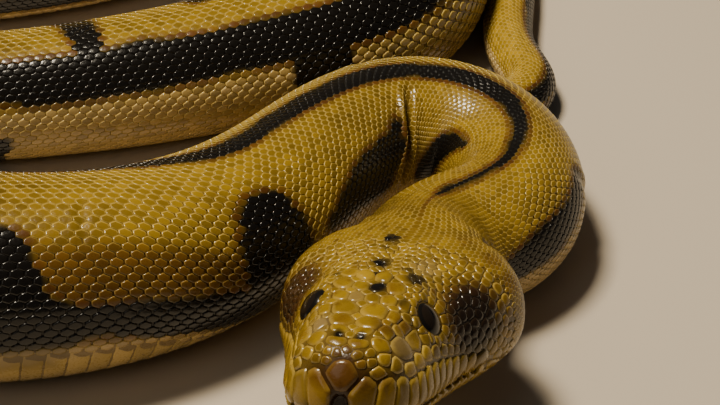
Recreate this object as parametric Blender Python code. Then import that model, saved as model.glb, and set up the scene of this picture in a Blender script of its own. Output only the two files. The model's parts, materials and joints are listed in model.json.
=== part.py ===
"""A reticulated python, 3.3 m long, lying in a loose coil with its head raised at the near side.

The body is one smooth tube along a centreline, parted by thin cuts into a neck, lengths of trunk
and a tail. The upper head, the lower jaw and the two eyes are nodes of their own. The coil rests
on the flat strip that its weight presses into its underside. Metres, +Z up, origin at the middle
of the coil on the floor. The animal faces the -Y side.
"""

import math

import bmesh
import bpy
import numpy as np
from mathutils import Matrix

MM = 0.001

# Driving dimensions
HEAD_LENGTH = 130 * MM        # snout to the joint with the neck
CUT = 0.3 * MM                # the gap that parts two neighbouring nodes
SAG = 0.94                    # a resting length's centre stands this share of its radius high
SIDES = 16                    # points round the body
RING_STEP = 20 * MM           # longest distance between two rings of the body
RING_TURN = math.radians(12)  # and the most that the body turns between them
NODE_LENGTH = 190 * MM        # longest node of the body
NODE_TURN = math.radians(62)  # and the most that it turns
NECK_SHARE = 0.045            # the neck's share of the body's length
TAIL_SHARE = 0.14             # the tail's
EYE_RADIUS = 6.2 * MM
EYE_BACK = 48 * MM            # eye's centre behind the snout
EYE_SIDE = 22.4 * MM          # beside the middle of the head
EYE_SWING = 7.6 * MM          # and how far that middle lies to the animal's right of the neck's line
EYE_UP = 7.0 * MM             # above the axis of the head
COIL_CENTRE = (-211.2 * MM, 248.2 * MM)   # the coil's middle in the frame of ROUTE

# The centreline from the head to the tip of the tail, as control points of a smooth curve:
# x, y, lift above the resting height, radius, in mm. The head joins at the second point.
ROUTE = [
    # nape, and the bend that swings the neck round behind the head
    (3.8, 5.9, 19.5, 28.5), (7, 24, 11, 28.5), (10.3, 41.5, 4, 28.5), (20, 54, 1, 29),
    (36, 63.5, 0, 29), (47.5, 77.5, 0, 28.5), (49, 102, 0, 27.5), (40, 125, 0, 27), (20, 138.5, 0, 28),
    (-5, 136, 0, 29), (-27, 115, 0, 31), (-47, 83, 0, 33),
    # front of the coil, and on round its left side and its back
    (-76, 47, 0, 36.5), (-119, 26, 0, 39), (-165, 19, 0, 41.5), (-230, 25, 0, 44),
    (-308, 46, 0, 47), (-382, 96, 0, 49), (-434, 172, 0, 50), (-454, 262, 0, 51),
    (-440, 354, 0, 52), (-388, 434, 0, 52), (-312, 484, 0, 52), (-222, 500, 0, 51),
    (-134, 490, 0, 49), (-62, 454, 0, 46), (-16, 394, 0, 42), (4, 324, 0, 38),
    # the inner length behind the head, and its turn back at the left
    (13, 261, 0, 34), (7, 218, 0, 32), (-27, 196, 0, 30.8), (-72, 180, 0, 29.5),
    (-112, 168, 0, 28.5), (-152, 160, 0, 27.5), (-202, 154, 0, 27), (-256, 164, 0, 27),
    (-284, 208, 0, 27), (-254, 250, 0, 27), (-198, 258, 0, 27), (-146, 271, 0, 27),
    (-96, 294, 0, 27), (-74, 342, 0, 27), (-98, 390, 2, 26.5),
    # up and over the back of the coil
    (-156, 406, 18, 26.5), (-214, 424, 62, 26), (-246, 464, 104, 25.5), (-236, 514, 117, 25),
    (-192, 558, 84, 25), (-130, 578, 22, 24.5),
    # the tail, along the outside of the coil and in between its front lengths
    (-62, 564, 0, 23.5), (6, 520, 0, 22.5), (56, 454, 0, 20.5), (62, 380, 0, 16),
    (50, 316, 0, 12), (54.5, 262, 0, 11.4), (46, 214, 0, 11.2), (63, 188, 0, 11.4),
    (50, 166, 0, 11.2), (18, 173.3, 0, 10.2), (-4, 171, 0, 9), (-21, 163.3, 0, 8.4), (-53, 147, 0, 7.6),
    (-87, 125, 0, 6.8), (-120, 104, 0, 6), (-154, 94, 0, 4), (-180, 90, 0, 1.5),
    (-200, 88, 0, 0.6),
]

# Sections of the head in mm, from the snout back: distance behind the snout, how far the middle
# lies to the animal's right of the neck's line, half width, and the heights above the axis of the
# crown, of the widest place, of the mouth and of the throat.
HEAD = [
    (-1, 8, 4, -1, -8, -16.5, -18), (1, 8, 10, 4.5, -8.5, -17, -22), (5, 8, 16.5, 8.5, -9.5, -17.8, -25.5),
    (12, 8, 21.5, 11, -10.5, -18.3, -28), (22, 8, 25, 12.5, -11.5, -18.5, -29.8),
    (34, 8, 28, 14.5, -12.3, -18.4, -31), (47, 7.6, 30.8, 18, -12.5, -18, -31.8),
    (60, 6.6, 33.6, 19.4, -11.5, -17.5, -32), (74, 5, 37.8, 20.5, -9.5, -17, -32),
    (87, 3.2, 42.6, 22, -6.5, -16.5, -31.6), (99, 1.6, 45.6, 23.6, -4, -16, -31),
    (109, 0.6, 44.6, 25.2, -2, -15.5, -30), (119, 0, 38.5, 27, -1, -15, -29),
    (130, 0, 27, 28.6, 0, -14.5, -28.4), (141, 0, 24.5, 28.6, 0, -14.5, -28.4),
]
CROWN_FULLNESS = 2.3          # exponents of the head's rounded outline, 2 being an ellipse
JAW_FULLNESS = 2.4
CROWN_POINTS = 13             # points over the crown, from side to side
LIP_POINTS = 3                # and down each side to the mouth
JAW_POINTS = 11               # points round the lower jaw
HEAD_RINGS = 22

# colour, roughness, metallic
SKIN = ((0.42, 0.30, 0.07, 1), 0.38, 0.0)
JAW_SKIN = ((0.62, 0.50, 0.18, 1), 0.40, 0.0)
EYE = ((0.02, 0.015, 0.01, 1), 0.08, 0.0)


def clear_scene():
    for obj in list(bpy.data.objects):
        bpy.data.objects.remove(obj, do_unlink=True)


def material(name, look):
    colour, roughness, metallic = look
    made = bpy.data.materials.new(name)
    made.use_nodes = True
    shader = made.node_tree.nodes["Principled BSDF"]
    shader.inputs["Base Color"].default_value = colour
    shader.inputs["Roughness"].default_value = roughness
    shader.inputs["Metallic"].default_value = metallic
    return made


def smooth_curve(rows, per_span=40):
    """Points of the uniform cubic B-spline that the rows control, all columns alike."""
    blend = np.array([[-1, 3, -3, 1], [3, -6, 3, 0], [-3, 0, 3, 0], [1, 4, 1, 0]]) / 6
    t = np.linspace(0, 1, per_span, endpoint=False)
    powers = np.stack([t**3, t**2, t, np.ones_like(t)], axis=1)
    return np.concatenate([powers @ blend @ rows[k : k + 4] for k in range(len(rows) - 3)])


class Body:
    """The centreline, read at a distance s behind the head."""

    def __init__(self):
        rows = np.array([(x, y, SAG * radius + lift, radius) for x, y, lift, radius in ROUTE]) * MM
        rows[:, :2] -= COIL_CENTRE
        self.rows = smooth_curve(rows)
        steps = np.linalg.norm(np.diff(self.rows[:, :3], axis=0), axis=1)
        self.s = np.concatenate([[0], np.cumsum(steps)])
        self.length = self.s[-1]
        ahead = np.gradient(self.rows[:, :3], self.s, axis=0)
        self.ahead = ahead / np.linalg.norm(ahead, axis=1)[:, None]
        bends = np.arccos(np.clip(np.sum(self.ahead[1:] * self.ahead[:-1], axis=1), -1, 1))
        self.turned = np.concatenate([[0], np.cumsum(bends)])

    def at(self, s):
        """Centre, radius, and the unit vectors along the body, to its side and upwards."""
        centre = np.array([np.interp(s, self.s, self.rows[:, k]) for k in range(3)])
        along = np.array([np.interp(s, self.s, self.ahead[:, k]) for k in range(3)])
        along /= np.linalg.norm(along)
        side = np.cross(along, (0, 0, 1))
        side /= np.linalg.norm(side)
        return centre, np.interp(s, self.s, self.rows[:, 3]), along, side, np.cross(side, along)

    def turn(self, s):
        return np.interp(s, self.s, self.turned)

    def part(self, start, end, longest, most_turn):
        """Distances from start to end, evenly by whichever of length and turn needs more steps."""
        effort = self.s / longest + self.turned / most_turn
        low, high = np.interp([start, end], self.s, effort)
        count = max(1, math.ceil(max((end - start) / longest, (self.turn(end) - self.turn(start)) / most_turn)))
        return np.interp(np.linspace(low, high, count + 1), effort, self.s)


def loft(name, rings, look):
    """A closed skin over rings of equally many points, each end filled with one face."""
    mesh = bmesh.new()
    loops = [[mesh.verts.new(point) for point in ring] for ring in rings]
    for near, far in zip(loops, loops[1:]):
        for k in range(len(near)):
            after = (k + 1) % len(near)
            mesh.faces.new((near[k], near[after], far[after], far[k]))
    mesh.faces.new(loops[0])
    mesh.faces.new(loops[-1])
    bmesh.ops.recalc_face_normals(mesh, faces=mesh.faces)
    bmesh.ops.triangulate(mesh, faces=[face for face in mesh.faces if len(face.verts) > 4])
    return finish(name, mesh, look)


def finish(name, mesh, look):
    data = bpy.data.meshes.new(name)
    mesh.to_mesh(data)
    mesh.free()
    data.materials.append(look)
    data.shade_smooth()
    data.set_sharp_from_angle(angle=math.radians(50))
    obj = bpy.data.objects.new(name, data)
    bpy.context.scene.collection.objects.link(obj)
    return obj


def body_ring(body, s, shift):
    """One round section, moved along the body by shift, with its underside pressed flat."""
    centre, radius, along, side, up = body.at(s)
    angles = (np.arange(SIDES) + 0.5) * 2 * math.pi / SIDES
    ring = centre + along * shift + radius * (np.outer(np.cos(angles), side) + np.outer(np.sin(angles), up))
    ring[:, 2] = np.maximum(ring[:, 2], 0)
    return ring


def body_length(body, name, start, end, look):
    stations = body.part(start, end, RING_STEP, RING_TURN)
    shifts = np.zeros(len(stations))
    shifts[0], shifts[-1] = CUT / 2, -CUT / 2
    return loft(name, [body_ring(body, s, shift) for s, shift in zip(stations, shifts)], look)


def make_body(body, look):
    neck_end = NECK_SHARE * body.length
    tail_start = (1 - TAIL_SHARE) * body.length
    for name, start, end in (
        ("neck", 0, neck_end),
        ("trunk", neck_end, tail_start),
        ("tail", tail_start, body.length),
    ):
        cuts = body.part(start, end, NODE_LENGTH, NODE_TURN)
        for number, (near, far) in enumerate(zip(cuts, cuts[1:]), 1):
            body_length(body, f"{name}_{number:02d}", near, far, look)


def head_section(row):
    """The head's outline at one section, as the half above the mouth and the half below it."""
    _, swing, half_width, crown, widest, mouth, throat = row

    def above(angle):
        across = abs(math.cos(angle)) ** (2 / CROWN_FULLNESS) * math.copysign(1, math.cos(angle))
        return swing + half_width * across, widest + (crown - widest) * math.sin(angle) ** (2 / CROWN_FULLNESS)

    def below(angle):
        across = abs(math.cos(angle)) ** (2 / JAW_FULLNESS) * math.copysign(1, math.cos(angle))
        return swing + half_width * across, widest - (widest - throat) * math.sin(angle) ** (2 / JAW_FULLNESS)

    def angle_at(height):
        return math.asin(((widest - height) / (widest - throat)) ** (JAW_FULLNESS / 2))

    lip = angle_at(mouth)
    side = [below(angle) for angle in np.linspace(lip, 0, LIP_POINTS + 1)[:-1]]
    crown_arc = [above(angle) for angle in np.linspace(0, math.pi, CROWN_POINTS)]
    upper = side + crown_arc + [(2 * swing - x, z) for x, z in reversed(side)]
    lip = angle_at(mouth - CUT / MM)
    lower = [below(angle) for angle in np.linspace(lip, math.pi - lip, JAW_POINTS)]
    return upper, lower


def head_axes(body):
    """A matrix whose axes are the head's right side, its forward direction and its crown."""
    joint, _, along, side, up = body.at(0)
    axes = Matrix.Identity(4)
    for column, axis in enumerate((-side, -along, up, joint)):
        for row in range(3):
            axes[row][column] = axis[row]
    return axes


def socket_ball(name, centre, radius, look):
    ball = bmesh.new()
    bmesh.ops.create_uvsphere(ball, u_segments=16, v_segments=10, radius=radius)
    bmesh.ops.translate(ball, verts=ball.verts, vec=centre)
    return finish(name, ball, look)


def make_head(body, skin, jaw_skin, eye_look):
    axes = head_axes(body)
    rows = smooth_curve(np.array(HEAD, float))
    behind = rows[:, 0]
    front, back = behind[0], (HEAD_LENGTH - CUT / 2) / MM
    share = np.linspace(0, 1, HEAD_RINGS) ** 1.25
    uppers, lowers = [], []
    for distance in front + (back - front) * share:
        row = [np.interp(distance, behind, rows[:, k]) for k in range(7)]
        upper, lower = head_section(row)
        ahead = HEAD_LENGTH - distance * MM
        uppers.append([axes @ Matrix.Translation((x * MM, ahead, z * MM)).to_translation() for x, z in upper])
        lowers.append([axes @ Matrix.Translation((x * MM, ahead, z * MM)).to_translation() for x, z in lower])
    head = loft("head", uppers, skin)
    loft("lower_jaw", lowers, jaw_skin)
    for name, sign in (("eye_right", 1), ("eye_left", -1)):
        centre = axes @ Matrix.Translation((EYE_SWING + sign * EYE_SIDE, HEAD_LENGTH - EYE_BACK, EYE_UP)).to_translation()
        socket_ball(name, centre, EYE_RADIUS, eye_look)
        cutter = socket_ball(name + "_socket", centre, EYE_RADIUS + CUT, eye_look)
        cutter.hide_render = True
        cutter.display_type = "WIRE"
        socket = head.modifiers.new(name + "_socket", "BOOLEAN")
        socket.operation = "DIFFERENCE"
        socket.object = cutter


clear_scene()
python_body = Body()
skin_look = material("scaled_skin", SKIN)
make_head(python_body, skin_look, material("jaw_skin", JAW_SKIN), material("eye", EYE))
make_body(python_body, skin_look)
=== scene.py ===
# %% [markdown]
# # A reticulated python, lying in a coil
# A life-size still model of a large python. One smooth skin carries the whole animal, and
# thousands of small domed scales lie over it, as on the real one. The notebook first writes the
# animal's surface and markings as functions of a place on its body. From them it makes the skin,
# the finishes, the body's scales, the belly's plates, the head's shields and the eyes. The floor,
# the light and the camera come last.

# %% Load the fixed frame
import json
import math

import bmesh
import bpy
import numpy as np
from mathutils import Matrix, Vector
from mathutils.bvhtree import BVHTree

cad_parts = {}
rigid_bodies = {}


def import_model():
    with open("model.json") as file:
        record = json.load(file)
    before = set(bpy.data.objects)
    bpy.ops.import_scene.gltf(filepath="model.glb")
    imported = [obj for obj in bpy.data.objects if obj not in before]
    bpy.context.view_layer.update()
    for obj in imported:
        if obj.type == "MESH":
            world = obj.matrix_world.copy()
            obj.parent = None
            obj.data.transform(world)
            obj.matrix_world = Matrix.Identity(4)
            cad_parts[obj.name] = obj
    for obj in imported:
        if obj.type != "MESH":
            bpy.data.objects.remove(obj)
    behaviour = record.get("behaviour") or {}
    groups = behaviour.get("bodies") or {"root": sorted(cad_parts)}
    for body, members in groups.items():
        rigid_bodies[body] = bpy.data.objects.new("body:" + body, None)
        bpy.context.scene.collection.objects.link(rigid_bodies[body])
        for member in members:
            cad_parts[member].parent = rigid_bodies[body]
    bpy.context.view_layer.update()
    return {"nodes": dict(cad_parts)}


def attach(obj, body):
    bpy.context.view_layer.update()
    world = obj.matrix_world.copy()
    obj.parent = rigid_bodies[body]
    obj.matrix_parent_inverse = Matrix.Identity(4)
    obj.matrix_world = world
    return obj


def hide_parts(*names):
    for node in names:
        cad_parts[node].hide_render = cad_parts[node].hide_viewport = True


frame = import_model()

# %% [markdown]
# ## The line of the body
# A snake's body is a tube whose middle follows a smooth curve. A curve object with a bevel could
# make the tube, but the scales need to know where every point of the skin lies, so the curve is
# kept as numbers: control points of a cubic B-spline, each with a radius. A point of the skin is
# then named by s, its distance behind the head, and phi, its angle round from the middle of the back.

# %% The centreline's control points
MM = 0.001
SAG = 0.94                                # a resting length's centre stands this share of its radius high
COIL_CENTRE = (-211.2 * MM, 248.2 * MM)

# x, y, lift above the resting height, radius, in mm, from the nape to the tip of the tail
ROUTE = [
    (3.8, 5.9, 19.5, 28.5), (7, 24, 11, 28.5), (10.3, 41.5, 4, 28.5), (20, 54, 1, 29),
    (36, 63.5, 0, 29), (47.5, 77.5, 0, 28.5), (49, 102, 0, 27.5), (40, 125, 0, 27), (20, 138.5, 0, 28),
    (-5, 136, 0, 29), (-27, 115, 0, 31), (-47, 83, 0, 33),
    (-76, 47, 0, 36.5), (-119, 26, 0, 39), (-165, 19, 0, 41.5), (-230, 25, 0, 44),
    (-308, 46, 0, 47), (-382, 96, 0, 49), (-434, 172, 0, 50), (-454, 262, 0, 51),
    (-440, 354, 0, 52), (-388, 434, 0, 52), (-312, 484, 0, 52), (-222, 500, 0, 51),
    (-134, 490, 0, 49), (-62, 454, 0, 46), (-16, 394, 0, 42), (4, 324, 0, 38),
    (13, 261, 0, 34), (7, 218, 0, 32), (-27, 196, 0, 30.8), (-72, 180, 0, 29.5),
    (-112, 168, 0, 28.5), (-152, 160, 0, 27.5), (-202, 154, 0, 27), (-256, 164, 0, 27),
    (-284, 208, 0, 27), (-254, 250, 0, 27), (-198, 258, 0, 27), (-146, 271, 0, 27),
    (-96, 294, 0, 27), (-74, 342, 0, 27), (-98, 390, 2, 26.5),
    (-156, 406, 18, 26.5), (-214, 424, 62, 26), (-246, 464, 104, 25.5), (-236, 514, 117, 25),
    (-192, 558, 84, 25), (-130, 578, 22, 24.5),
    (-62, 564, 0, 23.5), (6, 520, 0, 22.5), (56, 454, 0, 20.5), (62, 380, 0, 16),
    (50, 316, 0, 12), (54.5, 262, 0, 11.4), (46, 214, 0, 11.2), (63, 188, 0, 11.4),
    (50, 166, 0, 11.2), (18, 173.3, 0, 10.2), (-4, 171, 0, 9), (-21, 163.3, 0, 8.4), (-53, 147, 0, 7.6),
    (-87, 125, 0, 6.8), (-120, 104, 0, 6), (-154, 94, 0, 4), (-180, 90, 0, 1.5),
    (-200, 88, 0, 0.6),
]


def smooth_curve(rows, per_span=40):
    """Points of the uniform cubic B-spline that the rows control, all columns alike."""
    blend = np.array([[-1, 3, -3, 1], [3, -6, 3, 0], [-3, 0, 3, 0], [1, 4, 1, 0]]) / 6
    t = np.linspace(0, 1, per_span, endpoint=False)
    powers = np.stack([t**3, t**2, t, np.ones_like(t)], axis=1)
    return np.concatenate([powers @ blend @ rows[k : k + 4] for k in range(len(rows) - 3)])


control = np.array([(x, y, SAG * radius + lift, radius) for x, y, lift, radius in ROUTE]) * MM
control[:, :2] -= COIL_CENTRE
line = smooth_curve(control)
line_s = np.concatenate([[0], np.cumsum(np.linalg.norm(np.diff(line[:, :3], axis=0), axis=1))])
ahead = np.gradient(line[:, :3], line_s, axis=0)
ahead /= np.linalg.norm(ahead, axis=1)[:, None]
aside = np.cross(ahead, (0, 0, 1))
aside /= np.linalg.norm(aside, axis=1)[:, None]
upward = np.cross(aside, ahead)
bends = np.arccos(np.clip(np.sum(ahead[1:] * ahead[:-1], axis=1), -1, 1))
line_turn = np.concatenate([[0], np.cumsum(bends)])
LENGTH = line_s[-1]
print("body:", round(LENGTH, 3), "m behind the head")

# %% [markdown]
# ## How the body rolls
# A snake that lies in a bend rarely keeps its back straight up: the body rolls to one side or the
# other, which hides the line along its back here and shows it there. The lean is a short table in
# degrees, smoothed so that the rows of scales have no kinks.

# %% The lean of the back along the body
# mm behind the head, degrees that the back leans towards the side vector
LEAN = [
    (-130, 0), (0, 1), (20, 0), (40, -3), (60, -7), (80, -4), (100, 2), (120, 1), (140, -4), (160, -5),
    (180, -1), (200, 4), (220, 8), (240, 7), (260, 6), (280, 12), (300, 27), (320, 38), (345, 42),
    (420, 38), (600, 12), (800, 0), (1300, 0), (1450, -20), (1540, -48), (1760, -52), (1850, -30),
    (1950, -15), (2300, 0), (2700, 0), (2850, -25), (2960, -62), (3060, -66), (3120, -40), (3345, 0),
]
LEAN_STEP, LEAN_WINDOW = 2.0, 15          # mm between samples, and the samples that are averaged
lean_s = np.arange(-140, 3360, LEAN_STEP)
lean_raw = np.interp(lean_s, *zip(*LEAN))
window = np.hanning(LEAN_WINDOW) / np.hanning(LEAN_WINDOW).sum()
lean_smooth = np.convolve(np.pad(lean_raw, LEAN_WINDOW // 2, mode="edge"), window, mode="valid")


def lean(s):
    """Lean in radians at s metres behind the head."""
    return np.radians(np.interp(s / MM, lean_s, lean_smooth))


print("lean: between", lean_smooth.min().round(1), "and", lean_smooth.max().round(1), "degrees")

# %% [markdown]
# ## The shape of the head
# The head is a row of rounded sections from the snout back. Each is given by the heights of its
# crown, widest place, mouth and throat, and the outline between them is a superellipse, a little
# fuller than an ellipse. The same angle phi goes round the head as round the body, so head and body
# are one surface with no seam.

# %% The head's sections
HEAD_MM = 130.0                           # from the snout to the joint with the neck
# behind the snout, how far the middle lies to the animal's right, half width, and the heights of
# the crown, the widest place, the mouth and the throat, in mm
HEAD = [
    (-1, 8, 4, -1, -8, -16.5, -18), (1, 8, 10, 4.5, -8.5, -17, -22), (5, 8, 16.5, 8.5, -9.5, -17.8, -25.5),
    (12, 8, 21.5, 11, -10.5, -18.3, -28), (22, 8, 25, 12.5, -11.5, -18.5, -29.8),
    (34, 8, 28, 14.5, -12.3, -18.4, -31), (47, 7.6, 30.8, 18, -12.5, -18, -31.8),
    (60, 6.6, 33.6, 19.4, -11.5, -17.5, -32), (74, 5, 37.8, 20.5, -9.5, -17, -32),
    (87, 3.2, 42.6, 22, -6.5, -16.5, -31.6), (99, 1.6, 45.6, 23.6, -4, -16, -31),
    (109, 0.6, 44.6, 25.2, -2, -15.5, -30), (119, 0, 38.5, 27, -1, -15, -29),
    (130, 0, 27, 28.6, 0, -14.5, -28.4), (141, 0, 24.5, 28.6, 0, -14.5, -28.4),
]
SNOUT_TIP = -1.6                          # mm: where the rounded front of the snout closes
CROWN_FULLNESS, THROAT_FULLNESS = 2.3, 2.4     # powers of the superellipse, 2 for an ellipse
TO_CIRCLE = (100, 130)                    # mm behind the snout: where the sections turn into circles
head_rows = smooth_curve(np.array(HEAD, float))
HEAD_FRONT = head_rows[0, 0]
joint = line[0, :3]
HEAD_AXES = np.stack([-aside[0], -ahead[0], upward[0]])   # right, forward, crown


def smoothstep(low, high, value):
    """0 below low, 1 above high, and a smooth rise between them."""
    t = np.clip((value - low) / (high - low), 0, 1)
    return t * t * (3 - 2 * t)


def behind_snout(s):
    """mm behind the snout, from s in metres behind the head's joint."""
    return s / MM + HEAD_MM


def head_section(behind):
    """Swing, half width, crown, widest, mouth and throat at a distance behind the snout, in mm."""
    return [np.interp(behind, head_rows[:, 0], head_rows[:, k]) for k in range(1, 7)]


def head_local(behind, phi):
    """x to the animal's right, distance behind the snout, and height, in mm, before any sculpting."""
    swing, half, crown, widest, _, throat = head_section(behind)
    across, height = -np.sin(phi), np.cos(phi)
    fullness = np.where(height > 0, CROWN_FULLNESS, THROAT_FULLNESS)
    power = 2 / (fullness + (2 - fullness) * smoothstep(*TO_CIRCLE, behind))
    x = half * np.sign(across) * np.abs(across) ** power
    reach = np.where(height > 0, crown - widest, widest - throat)
    z = widest + reach * np.sign(height) * np.abs(height) ** power
    closing = np.sqrt(np.clip((behind - SNOUT_TIP) / (HEAD_FRONT - SNOUT_TIP), 0, 1))
    return swing + x * closing, behind, widest + (z - widest) * closing


def head_world(x, behind, z):
    """Points in space from x, distance behind the snout and height in mm."""
    local = np.stack([x, HEAD_MM - behind, z], axis=-1) * MM
    return joint + local @ HEAD_AXES


print("head:", len(HEAD), "sections, snout at", np.round(head_world(8, SNOUT_TIP, -8), 4))

# %% [markdown]
# ## Folds and small forms of the head
# The sections give the head's outline only. The brow over each eye, the hollow in front of it, the
# swell of the jaw muscles, the nostrils, the pits in the lips and the line of the mouth are pushed
# in or out of that surface. A sculptor would use brushes; here each brush stroke is one line of a
# table, with a place, a size and a depth, so that it can be changed and run again.

# %% Strokes that shape the head
# |x| from the middle, behind, height; size along each; push outwards, in mm; both sides alike
STROKES = [
    (17.5, 47, 17, 6, 13, 6, 1.9),        # brow over the eye
    (19.5, 33, 5, 5, 9, 4.5, -1.6),       # hollow in front of the eye
    (12, 24, 12, 4, 12, 4, 0.9),          # ridge from the brow to the nostril
    (8, 13, 10, 4, 5, 4, 0.8),            # swell round the nostril
    (0, 20, 13, 4, 16, 5, -0.7),          # shallow groove between the nasal swells
    (34, 80, -2, 9, 18, 11, 2.2),         # jaw muscle behind the eye
    (25, 66, 15, 6, 14, 5, -1.3),         # dip between the crown and the jaw muscle
    (9, 72, 22, 6, 20, 6, 0.9),           # two long swells of the crown
    (0, 76, 22, 2.5, 26, 6, -1.0),        # groove between them
    (25, 30, -13, 8, 20, 4.5, 1.0),       # full upper lip
    (0, 112, 27, 24, 9, 10, -1.2),        # nape, where head meets neck
    (43, 104, -10, 8, 8, 12, 1.0),        # corner of the jaw
]
MOUTH_DEPTH, MOUTH_WIDTH = 2.4, 0.85
MOUTH_END = (70, 85)                      # mm behind the snout: where the mouth's line fades out
NOTCH = (4.4, -16.0, 9.5, 3.2)            # half width, foot, height and depth of the notch for the tongue
NOSTRIL = (3.9, 11.6, 10.1, 1.7, 1.0, 2.2)   # x, behind, height, half width, half length, depth
# the pits that feel warmth, in the front lip shields: x, behind and height
PITS = [(9.3, 2.0, -2.0), (15.3, 5.6, -4.8), (19.6, 11.0, -7.0), (22.6, 17.0, -8.5)]
PIT_RADIUS, PIT_DEPTH = 1.2, 1.5
TURNED = (31, 34, -6, 10, 36, 16, -4.6)   # a stroke on the right only, as the snout is turned a little
EYES = [(-22.4, 47.5, 8.2), (19.4, 44.5, 8.8)]   # x, behind and height of each eye's middle
ORBIT_RADIUS, ORBIT_DEPTH = 5.6, 1.6


def stroke(x, behind, z, cx, cb, cz, rx, rb, rz, amount):
    """A soft bump of the given middle, size and amount."""
    return amount * np.exp(-(((x - cx) / rx) ** 2 + ((behind - cb) / rb) ** 2 + ((z - cz) / rz) ** 2))


def in_notch(x, behind, z):
    """1 inside the notch at the front of the upper lip, an arch that ends 5 to 8 mm behind the snout."""
    half, foot, tall, _ = NOTCH
    arch = 1 - smoothstep(0.72, 1.08, np.hypot(x / half, (z - foot) / tall))
    return arch * smoothstep(foot - 1, foot + 0.5, z) * (1 - smoothstep(5, 8, behind))


def head_push(x, behind, z):
    """How far the strokes push the head's surface outwards, in metres."""
    swung = x - head_section(behind)[0]
    beside = np.abs(swung)
    push = np.zeros(np.broadcast(x, behind, z).shape)
    for numbers in STROKES:
        push += stroke(beside, behind, z, *numbers)
    push += stroke(swung, behind, z, *TURNED)
    off_mouth = (z - head_section(behind)[4]) / MOUTH_WIDTH
    push -= MOUTH_DEPTH * (1 - smoothstep(*MOUTH_END, behind)) * np.exp(-(off_mouth**2))
    push -= NOTCH[3] * in_notch(beside, behind, z)
    nx, nb, nz, wide, long, depth = NOSTRIL
    push += stroke(beside, behind, z, nx, nb, nz, wide, long, 3, -depth)
    for pit in PITS:
        push += stroke(beside, behind, z, *pit, PIT_RADIUS, PIT_RADIUS, PIT_RADIUS, -PIT_DEPTH)
    for eye in EYES:
        push += stroke(swung, behind, z, *eye, ORBIT_RADIUS, ORBIT_RADIUS, ORBIT_RADIUS, -ORBIT_DEPTH)
    return push * MM


print("strokes:", 2 * len(STROKES) + 1, "soft ones, with", 2 * len(PITS), "pits in the lips")

# %% [markdown]
# ## One surface for head and body
# The next function is the heart of the model. It takes any number of places (s, phi) and a lift
# above the skin, and gives their points in space. Where the body rests, its underside is pressed
# flat by its own weight. The folds of skin that open and close in a bend are pushed in along short
# lines.

# %% The surface of the whole animal
FLOOR_GAP = 0.9 * MM                      # the belly's plates fill this gap to the floor
SKIN_INSET = 0.45 * MM                    # how deep the skin lies in the solids, to leave room for scales
THIN = 6 * MM                             # below this radius the inset shrinks with the body
HEAD_RADIUS = 30 * MM                     # stands for the head's radius where a fold runs onto it
# a fold's two ends as mm behind the head and degrees, its half width and its depth in mm
FOLDS = [
    (162, -20, 184, -92, 2.5, 4.2), (168, 30, 176, 90, 2.0, 0.8), (330, -42, 333, -78, 1.6, 0.7),
    (-14, 38, 6, 80, 3.0, 2.2), (-14, -38, 6, -80, 3.0, 2.2), (78, 52, 86, 110, 2.0, 0.8),
]
FOLD_SWELL = (0.5, 0.12)                  # the swell behind a fold and before it, against its depth
SWELL_AWAY, SWELL_WIDE = 1.9, 0.8         # its middle and half width, in half widths of the fold


def from_segment(px, py, ax, ay):
    """The share of a segment (ax, ay) at which it is nearest to (px, py), and the distance there."""
    share = np.clip((px * ax + py * ay) / (ax * ax + ay * ay), 0, 1)
    return share, np.hypot(px - share * ax, py - share * ay)


def fold_push(s, phi, radius):
    """Depth of the folds at s metres and phi radians, with the swell of skin beside each."""
    push = np.zeros(np.broadcast(s, phi).shape)
    along_mm, radius_mm = s / MM, radius / MM
    for s0, p0, s1, p1, width, depth in FOLDS:
        ax, ay = s1 - s0, np.radians(p1 - p0) * radius_mm
        px, py = along_mm - s0, (phi - np.radians(p0)) * radius_mm
        share, away = from_segment(px, py, ax, ay)
        away = away / width
        taper = np.sin(np.pi * np.clip(share, 0.04, 0.96)) ** 0.5
        swell = np.where(px > share * ax, *FOLD_SWELL) * np.exp(-(((away - SWELL_AWAY) / SWELL_WIDE) ** 2))
        push += depth * taper * (swell - np.exp(-(away**2)))
    return push * MM


def table(s, columns):
    """The centreline's columns at s."""
    return np.stack([np.interp(s, line_s, columns[:, k]) for k in range(columns.shape[1])], axis=-1)


def body_point(s, phi, lift):
    """Points of the neck, the trunk and the tail."""
    centre, radius = table(s, line[:, :3]), np.interp(s, line_s, line[:, 3])
    angle = np.pi / 2 - lean(s) - phi
    out = np.cos(angle)[..., None] * table(s, aside) + np.sin(angle)[..., None] * table(s, upward)
    reach = radius - SKIN_INSET * np.minimum(1, radius / THIN) + fold_push(s, phi, radius) + lift
    point = centre + reach[..., None] * out
    resting = FLOOR_GAP - np.minimum(lift, FLOOR_GAP * 0.9)
    point[..., 2] = np.maximum(point[..., 2], resting)
    return point


def head_point(s, phi, lift):
    """The head's sections, moved along their own normal by the strokes, the folds and the lift."""
    def plain(s, phi):
        return head_world(*head_local(behind_snout(s), phi))

    turn_step, step, tiny = 0.002, 0.2 * MM, 1e-14
    across = plain(s, phi + turn_step) - plain(s, phi - turn_step)
    along = plain(s + step, phi) - plain(s - step, phi)
    normal = np.cross(across, along)
    size = np.linalg.norm(normal, axis=-1, keepdims=True)
    normal = np.where(size > tiny, normal / np.maximum(size, tiny), -ahead[0])
    push = head_push(*head_local(behind_snout(s), phi)) - SKIN_INSET
    folds = fold_push(s, phi, np.full(np.shape(s), HEAD_RADIUS))
    return plain(s, phi) + normal * (push + folds + lift)[..., None]


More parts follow.
